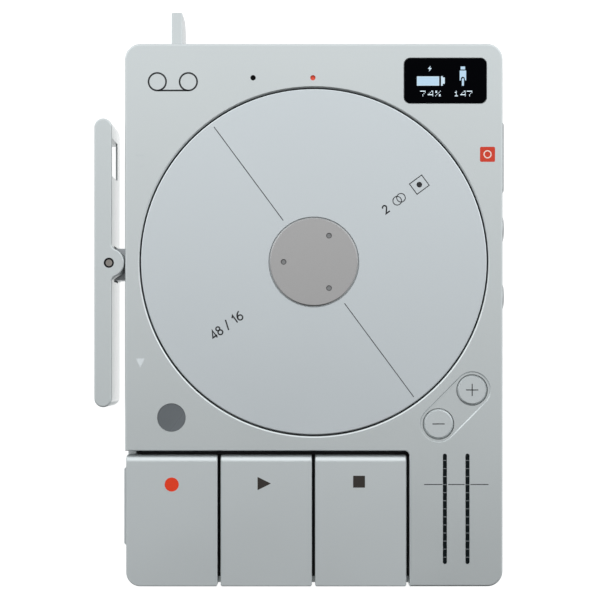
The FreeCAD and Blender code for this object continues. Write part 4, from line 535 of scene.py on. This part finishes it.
class Print:
    """Collects thin plates, in millimetres, on one level."""

    def __init__(self, level):
        self.builder = bmesh.new()
        self.low = level - SINK
        self.high = level + INK

    def plate(self, points):
        """A filled outline; the points go round it once."""
        bottom = [self.builder.verts.new((x * MM, y * MM, self.low)) for x, y in points]
        top = [self.builder.verts.new((x * MM, y * MM, self.high)) for x, y in points]
        self.builder.faces.new(bottom[::-1])
        self.builder.faces.new(top)
        for index, here in enumerate(bottom):
            after = (index + 1) % len(bottom)
            self.builder.faces.new((here, bottom[after], top[after], top[index]))

    def ribbon(self, path, width, closed=False):
        """A line of even width along a path, with mitred corners."""
        spots = [Vector(spot) for spot in path]
        count = len(spots)
        sides = []
        for index, spot in enumerate(spots):
            before = spots[index - 1] if closed or index else spot
            after = spots[(index + 1) % count] if closed or index < count - 1 else spot
            ahead = ((after - spot) if after != spot else (spot - before)).normalized()
            behind = ((spot - before) if before != spot else ahead).normalized()
            normal = Vector((-ahead.y - behind.y, ahead.x + behind.x))
            first = Vector((-behind.y, behind.x)).normalized()
            normal.normalize()
            reach = width / 2 / max(normal.dot(first), 0.4)
            sides.append((spot + normal * reach, spot - normal * reach))
        steps = count if closed else count - 1
        corners = [[[self.builder.verts.new((p.x * MM, p.y * MM, z)) for p in pair]
                    for z in (self.low, self.high)] for pair in sides]
        for index in range(steps):
            (al, bl), (ah, bh) = corners[index]
            (cl, dl), (ch, dh) = corners[(index + 1) % count]
            for face in ((al, bl, dl, cl), (ah, ch, dh, bh), (al, cl, ch, ah), (bl, bh, dh, dl)):
                self.builder.faces.new(face)
        if not closed:
            (al, bl), (ah, bh) = corners[0]
            self.builder.faces.new((al, ah, bh, bl))
            (al, bl), (ah, bh) = corners[-1]
            self.builder.faces.new((al, bl, bh, ah))

    def ring(self, centre, radius, width, steps=64):
        """A closed ribbon round a centre."""
        self.ribbon(disc(centre, radius, steps), width, closed=True)

    def done(self, name, body, slot, finish):
        """Turns the plates into one piece."""
        bmesh.ops.recalc_face_normals(self.builder, faces=self.builder.faces)
        mesh = bpy.data.meshes.new(name)
        self.builder.to_mesh(mesh)
        self.builder.free()
        add_piece(name, mesh, body, finish)


def arc(centre, radius, start, end, steps=24):
    """Points along an arc, in degrees."""
    points = []
    for step in range(steps + 1):
        angle = math.radians(start + (end - start) * step / steps)
        points.append((centre[0] + radius * math.cos(angle), centre[1] + radius * math.sin(angle)))
    return points


def disc(centre, radius, steps=36):
    """The outline of a full disc."""
    return arc(centre, radius, 0, 360, steps)[:-1]


def printed(name, colour, roughness=0.55):
    """Ink: nearly flat in tone, with the slight unevenness of a screen print."""
    finish, tree, shader = new_finish(name)
    fine = noise(tree, 6000, 3)
    tree.links.new(tone(tree, fine, shaded(colour, 0.9), shaded(colour, 1.1)), shader.inputs["Base Color"])
    tree.links.new(spread(tree, fine, roughness - 0.05, roughness + 0.05), shader.inputs["Roughness"])
    shader.inputs["Specular IOR Level"].default_value = 0.25
    return finish


ink_dark = printed("ink_dark", (0.024, 0.025, 0.027))
ink_grey = printed("ink_grey", (0.055, 0.058, 0.062))
ink_brown = printed("ink_brown", (0.030, 0.024, 0.020))
ink_red = printed("ink_red", (0.73, 0.041, 0.008))
ink_deep_red = printed("ink_deep_red", (0.66, 0.050, 0.022))
ink_light = printed("ink_light", (0.575, 0.600, 0.610))
ink_white = printed("ink_white", (0.685, 0.715, 0.725))
ink_pale = printed("ink_pale", (0.90, 0.72, 0.66))
print("printing helpers and eight inks")

# %% [markdown]
# ## Numerals drawn with a pen
# The numbers on the face are drawn with one thin stroke, like engraving. Each numeral is a few lines and
# arcs in a cell one unit wide and 1.6 high, so a pen of even width can follow it at any size.

# %% Draw the numerals
CELL_HEIGHT = 1.6
NUMERALS = {
    "1": [[(0.2, 1.25), (0.55, 1.6), (0.55, 0.0)]],
    "4": [[(0.72, 0.0), (0.72, 1.6), (0.0, 0.42), (0.98, 0.42)]],
    "6": [arc((0.5, 0.47), 0.47, 0, 360, 28), arc((1.23, 0.40), 1.2, 178, 102, 10)],
    "8": [arc((0.5, 0.44), 0.44, 0, 360, 28), arc((0.5, 1.24), 0.36, 0, 360, 24)],
    "2": [arc((0.5, 1.18), 0.42, 170, -38, 16) + [(0.05, 0.0), (0.98, 0.0)]],
    "/": [[(0.05, -0.15), (0.7, 1.75)]],
}


def write(sheet, text, start, size, turn, pen, gap=0.35):
    """Writes numerals from a start point along a turned line."""
    angle = math.radians(turn)
    across = Vector((math.cos(angle), math.sin(angle)))
    up = Vector((-math.sin(angle), math.cos(angle)))
    spot = Vector(start)
    unit = size / CELL_HEIGHT
    for sign in text:
        width = 0.45 if sign == " " else 0.75 if sign in "1/" else 1.0
        for stroke in NUMERALS.get(sign, []):
            sheet.ribbon([spot + across * x * unit + up * y * unit for x, y in stroke], pen)
        spot = spot + across * (width + gap) * unit


POINTS_PER_MM = 5.648
ORIGIN_ACROSS, ORIGIN_DOWN = 313.85, 315.1


def pixel(across, down):
    """A point of the picture, as millimetres on the face."""
    return ((across - ORIGIN_ACROSS) / POINTS_PER_MM, (ORIGIN_DOWN - down) / POINTS_PER_MM)


print("numerals:", " ".join(NUMERALS))

# %% [markdown]
# ## Marks on the reel
# A hairline crosses the reel from rim to cap on both sides. Beside it stand a pair of plain numbers, a
# single number, the two linked rings that stand for stereo, and a boxed dot. They ride on the reel, so
# they turn with it.

# %% Print the hairline and the numbers
HAIRLINE_TURN = 126.5
HAIRLINE_FROM, HAIRLINE_TO, HAIRLINE_PEN = 9.1, 29.7, 0.15
WRITING_TURN = 36.5
WRITING_PEN = 0.25
PAIR_SIZE, SINGLE_SIZE = 1.52, 1.38
PAIR_GAP = 0.24
hairline = Print(FACE)
heading = Vector((math.cos(math.radians(HAIRLINE_TURN)), math.sin(math.radians(HAIRLINE_TURN))))
pivot = Vector((reel_middle.x / MM, reel_middle.y / MM))
for side in (-1, 1):
    hairline.ribbon([pivot + heading * side * HAIRLINE_FROM, pivot + heading * side * HAIRLINE_TO],
                    HAIRLINE_PEN)
hairline.done("reel_hairline", "reel", "anodised_reel", ink_grey)

writing = Print(FACE)
write(writing, "48 / 16", pixel(214.4, 339.7), PAIR_SIZE, WRITING_TURN, WRITING_PEN, PAIR_GAP)
write(writing, "2", pixel(385.9, 213.9), SINGLE_SIZE, WRITING_TURN, WRITING_PEN)
writing.done("reel_numbers", "reel", "anodised_reel", ink_dark)
print("hairline and numbers printed")

# %% Print the signs of the reel
SYMBOL_PEN = 0.17
STEREO_RADIUS = 0.76
BOX_HALF_LENGTH, BOX_HALF_HEIGHT, BOX_DOT_RADIUS = 1.34, 1.13, 0.5
symbols = Print(FACE)
for px, py in ((397.1, 200.9), (400.9, 197.9)):
    symbols.ring(pixel(px, py), STEREO_RADIUS, SYMBOL_PEN)
box_middle = Vector(pixel(419.2, 184.8))
across = Vector((math.cos(math.radians(WRITING_TURN)), math.sin(math.radians(WRITING_TURN))))
upward = Vector((-across.y, across.x))
symbols.ribbon([box_middle + across * i * BOX_HALF_LENGTH + upward * j * BOX_HALF_HEIGHT
                for i, j in ((-1, -1), (1, -1), (1, 1), (-1, 1))], SYMBOL_PEN, closed=True)
symbols.done("reel_symbols", "reel", "anodised_reel", ink_grey)
dot = Print(FACE)
dot.plate(disc(box_middle, BOX_DOT_RADIUS))
dot.done("reel_box_dot", "reel", "anodised_reel", ink_dark)
print("signs of the reel printed")

# %% [markdown]
# ## Marks on the case and the keys
# The corner sign is a line drawing of two tape reels. A red plate marks the button on the right edge, two
# bars and a pale triangle tell which way the rocker goes, and a cross line marks the reference level of the
# two meters. The keys carry the round, the triangle and the square that every recorder has.

# %% Print the corner sign and the red plate
SIGN_REEL, SIGN_PEN = 1.55, 0.3
corner = Print(FACE)
left_reel, right_reel = Vector(pixel(157.5, 82)), Vector(pixel(188.5, 82))
for centre in (left_reel, right_reel):
    corner.ring(centre, SIGN_REEL, SIGN_PEN)
corner.ribbon([left_reel - Vector((0, SIGN_REEL)), right_reel - Vector((0, SIGN_REEL))], SIGN_PEN)
corner.done("corner_sign", "case", "anodised_case", ink_dark)

PLATE_HALF, PLATE_ROUND = 1.33, 0.25
PLATE_RING, PLATE_RING_PEN = 0.62, 0.2
red_plate = Print(FACE)
plate_middle = Vector((30.71, 28.43))
outline = []
for turn, i, j in ((0, 1, 1), (90, -1, 1), (180, -1, -1), (270, 1, -1)):
    bend = plate_middle + Vector((i, j)) * (PLATE_HALF - PLATE_ROUND)
    outline += arc(bend, PLATE_ROUND, turn, turn + 90, 6)
red_plate.plate(outline)
red_plate.done("memo_plate", "case", "anodised_case", ink_deep_red)
plate_ring = Print(FACE + INK)
plate_ring.ring(plate_middle, PLATE_RING, PLATE_RING_PEN)
plate_ring.done("memo_ring", "case", "anodised_case", ink_pale)
print("corner sign and red plate printed")

# %% Print the ways of the rocker and the level of the meters
FINE_PEN = 0.16
way_mark = Print(FACE)
way_mark.plate([pixel(136.2, 358.4), pixel(144.9, 358.4), pixel(140.5, 367.6)])
way_mark.done("rocker_triangle", "case", "anodised_case", ink_white)
way_bars = Print(FACE)
for py in (155.5, 166.4):
    way_bars.ribbon([pixel(136.2, py), pixel(144.4, py)], FINE_PEN)
way_bars.done("rocker_bars", "case", "anodised_case", ink_light)

level_line = Print(FACE)
for start, end in ((424.0, 442.2), (448.0, 464.4), (470.2, 488.3)):
    level_line.ribbon([pixel(start, 484.3), pixel(end, 484.3)], FINE_PEN)
level_line.done("meter_line", "case", "anodised_case", ink_grey)
print("ways and level printed")

# %% Print the keys
RECORD_SPOT, RECORD_RADIUS = (-25.14, -29.96), 1.25
PLAY_LEFT, PLAY_RIGHT, PLAY_LOW, PLAY_HIGH = -9.96, -7.59, -30.97, -28.6
STOP_LEFT, STOP_RIGHT, STOP_LOW, STOP_HIGH = 6.94, 9.04, -30.51, -28.41
record_dot = Print(top_of("record_key"))
record_dot.plate(disc(RECORD_SPOT, RECORD_RADIUS, 48))
record_dot.done("record_dot", "record_key", "anodised_key", ink_red)
play_sign = Print(top_of("play_key"))
play_sign.plate([(PLAY_LEFT, PLAY_HIGH), (PLAY_LEFT, PLAY_LOW), (PLAY_RIGHT, (PLAY_LOW + PLAY_HIGH) / 2)])
play_sign.done("play_triangle", "play_key", "anodised_key", ink_brown)
stop_sign = Print(top_of("stop_key"))
stop_sign.plate([(STOP_LEFT, STOP_LOW), (STOP_RIGHT, STOP_LOW), (STOP_RIGHT, STOP_HIGH),
                 (STOP_LEFT, STOP_HIGH)])
stop_sign.done("stop_square", "stop_key", "anodised_key", ink_brown)
print("three keys printed")

# %% Print the two round buttons
SIGN_DEPTH = 0.08 * MM
ARM = 1.08
for node, arms in (("minus_button", ((1, 0),)), ("plus_button", ((1, 0), (0, 1)))):
    spot = middle(node) / MM
    sign = Print(top_of(node) - SIGN_DEPTH)
    for dx, dy in arms:
        reach = Vector((dx, dy)) * ARM
        sign.ribbon([spot.xy - reach, spot.xy + reach], SYMBOL_PEN)
    sign.done(f"{node}_sign", node, "anodised_key", ink_dark)
print("two buttons printed")

# %% [markdown]
# ## Gauze, meter lines and painted shade in holes and gaps
# The microphone looks out through a black gauze just under its hole. The two level meters are dark bars
# whose thirteen pale lines part one lit step from the next. The three blind holes in the reel's cap take
# the pins of a spanner; their floors get a grey plate of painted shade, with a darker ring of painted
# shadow round the edge. A black ring of painted shadow lies in the well round the rocker's pin, and strips
# of black painted shade lie on the frame under the gaps between the keys, so that the gaps stay dark.

# %% Lay the gauze and part the meters
GAUZE_DEPTH = 0.06 * MM
MIC_HOLE_RADIUS = 0.48
SLACK = 0.005
mic_spot = (middle("microphone") / MM).xy
gauze = Print(FACE - GAUZE_DEPTH)
gauze.plate(disc(mic_spot, MIC_HOLE_RADIUS - SLACK))
gauze.done("mic_gauze", "case", "module_black", moulded("gauze_black", (0.002, 0.002, 0.002), 0.9, gloss=0.1))

METER_STEP = 1.4255
METER_LINES = 13
METER_HALF_WIDTH = 0.32
METER_PEN = 0.11
parting = printed("meter_parting", (0.20, 0.215, 0.22))
for side in ("left", "right"):
    node = f"meter_guide_{side}"
    spot = middle(node) / MM
    lines = Print(top_of(node))
    for index in range(METER_LINES):
        y = spot.y + (index - (METER_LINES - 1) / 2) * METER_STEP
        lines.ribbon([(spot.x - METER_HALF_WIDTH, y), (spot.x + METER_HALF_WIDTH, y)], METER_PEN)
    lines.done(f"meter_lines_{side}", "case", "meter_black", parting)
print(f"gauze and {2 * METER_LINES} meter lines")

# %% Paint shade into the holes of the cap
# Painted shade: a grey plate on each hole floor and a dark ring of painted shadow round its edge.
CAP_HOLE_RADIUS, CAP_CIRCLE_RADIUS = 0.5, 5.35
CAP_HOLE_DEPTH = 0.12 * MM
SHADE_RING_WIDTH = 0.13
CAP_HOLE_LEVEL = top_of("reel_hub_cap") - CAP_HOLE_DEPTH
hole_floor_shade, hole_rim_shadow = Print(CAP_HOLE_LEVEL), Print(CAP_HOLE_LEVEL)
for turn in (60, 180, 300):
    angle = math.radians(turn)
    spot = pivot + Vector((math.cos(angle), math.sin(angle))) * CAP_CIRCLE_RADIUS
    hole_floor_shade.plate(disc(spot, CAP_HOLE_RADIUS - SHADE_RING_WIDTH, 24))
    hole_rim_shadow.ring(spot, CAP_HOLE_RADIUS - SLACK - SHADE_RING_WIDTH / 2, SHADE_RING_WIDTH, 32)
hole_floor_shade.done("cap_hole_floor_shade", "reel", "hub_metal", printed("painted_hole_shade", (0.23, 0.23, 0.23)))
hole_rim_shadow.done("cap_hole_rim_shadow", "reel", "hub_metal", printed("painted_hole_shadow", (0.09, 0.09, 0.09)))
print("three holes floored")

# %% Lay the painted shadow round the pin and the painted shade under the key gaps
# A near-black sheet used for painted shade and painted shadow.
shade_black = moulded("shade_black", (0.004, 0.004, 0.005), 0.95)
PIN_RADIUS, WELL_RADIUS = 0.58, 0.90
RING_DEPTH, RING_ROOM = 0.12 * MM, 0.02
pin_spot = (middle("rocker_pin") / MM).xy
# Painted shadow: a black ring in the well round the rocker's pin.
pin_shadow = Print(top_of("rocker_bar") - RING_DEPTH)
pin_shadow.ring(pin_spot, (PIN_RADIUS + WELL_RADIUS) / 2, WELL_RADIUS - PIN_RADIUS - RING_ROOM, 48)
pin_shadow.done("pin_well_shadow", "rocker", "jack_black", shade_black)

# Painted shade: black strips under the gaps between the keys keep the gaps dark.
GAP_SHADE_ROOM = 0.04
KEY_GAP, HEAD_GAP = 0.57, 0.75
GAP_SHADE_LEFT = -31.3
GAP_SHADE_FOOT = 1.6
gap_shade = Print(top_of("key_frame") + SINK)
key_low, key_high = (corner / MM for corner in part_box("stop_key"))
for node in ("record_key", "play_key", "stop_key"):
    key_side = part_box(node)[1].x / MM
    gap_shade_low = key_low.y + GAP_SHADE_FOOT
    gap_shade.plate([(key_side + GAP_SHADE_ROOM, gap_shade_low), (key_side + KEY_GAP - GAP_SHADE_ROOM, gap_shade_low),
                (key_side + KEY_GAP - GAP_SHADE_ROOM, key_high.y), (key_side + GAP_SHADE_ROOM, key_high.y)])
gap_shade.plate([(GAP_SHADE_LEFT, key_high.y + GAP_SHADE_ROOM), (key_high.x + KEY_GAP - GAP_SHADE_ROOM, key_high.y + GAP_SHADE_ROOM),
            (key_high.x + KEY_GAP - GAP_SHADE_ROOM, key_high.y + HEAD_GAP - GAP_SHADE_ROOM),
            (GAP_SHADE_LEFT, key_high.y + HEAD_GAP - GAP_SHADE_ROOM)])
gap_shade.done("key_gap_shade", "case", "module_black", shade_black)
print("ring and felt laid")

# %% [markdown]
# ## The display
# The display sits under black glass, flush with the face. What is lit is built from small plates: a
# charging bolt, a battery whose fill shows the charge, a plug for the outside supply and two groups of
# figures made of pixels. A pixel row is a short table of ones and zeros, as in the display's own memory,
# and each pixel is about half as high as its cell, so that dark lines stay between the rows. The numbers
# below are millimetres on the face, to the right and towards the head.

# %% Helpers for the lit plates
GLASS = top_of("display_glass")
lit_fill = lit("screen_fill", (0.352, 0.487, 0.600), 0.5)
lit_line = lit("screen_line", (0.42, 0.525, 0.600), 0.55)
lit_figure = lit("screen_figure", (0.46, 0.54, 0.59), 1.7)

PIXEL_SIGNS = {
    "1": ("00100", "01100", "00100", "00100", "01110"),
    "4": ("00011", "00101", "01001", "11111", "00001"),
    "7": ("11111", "00001", "00010", "00100", "00100"),
    "%": ("11001", "11010", "00100", "01011", "10011"),
}
PIXEL_FILL = 0.53


def block(sheet, left, low, right, high):
    """A lit rectangle."""
    sheet.plate([(left, low), (right, low), (right, high), (left, high)])


def figures(sheet, text, left, low, high, pitch):
    """Writes a row of pixel figures; touching pixels of a row are joined into one bar."""
    step = (high - low) / 5
    for place, sign in enumerate(text):
        for line, bits in enumerate(PIXEL_SIGNS[sign]):
            middle_y = high - (line + 0.5) * step
            column = 0
            while column < 5:
                run = 0
                while column + run < 5 and bits[column + run] == "1":
                    run += 1
                if run:
                    x = left + place * pitch + column * step
                    block(sheet, x, middle_y - step * PIXEL_FILL / 2, x + (run - 1 + PIXEL_FILL) * step,
                          middle_y + step * PIXEL_FILL / 2)
                column += max(run, 1)


print("pixel figures:", " ".join(PIXEL_SIGNS))

# %% Light the battery, the bolt and the plug
charge = Print(GLASS)
block(charge, 18.32, 40.68, 22.06, 42.11)
charge.done("battery_fill", "case", "black_glass", lit_fill)

icons = Print(GLASS)
icons.ribbon([(18.27, 40.63), (22.11, 40.63), (22.11, 42.16), (18.27, 42.16)], 0.1, closed=True)
block(icons, 22.49, 40.55, 22.79, 42.26)
block(icons, 22.79, 40.90, 23.15, 42.03)
icons.plate([(20.66, 44.10), (20.15, 43.55), (20.46, 43.51), (20.33, 43.05), (20.87, 43.66),
             (20.56, 43.70)])
icons.done("display_icons", "case", "black_glass", lit_line)

plug = Print(GLASS)
block(plug, 25.95, 43.43, 26.74, 43.96)
arch = arc((26.355, 41.80), 0.34, 180, 0, 12)
plug.plate([(25.79, 43.25), (25.79, 41.50), (25.98, 41.50)] + arch
           + [(26.73, 41.50), (26.93, 41.50), (26.93, 43.25)])
block(plug, 26.17, 40.57, 26.54, 41.62)
plug.plate([(26.17, 41.62), (26.54, 41.62)] + arc((26.355, 41.70), 0.185, 0, 180, 8))
plug.done("display_plug", "case", "black_glass", lit_fill)
print("battery, bolt and plug lit")

# %% Light the figures
rows = Print(GLASS)
figures(rows, "74%", 18.80, 38.66, 39.70, 1.34)
figures(rows, "147", 24.72, 38.66, 39.70, 1.17)
rows.done("display_figures", "case", "black_glass", lit_figure)
print("figures lit")
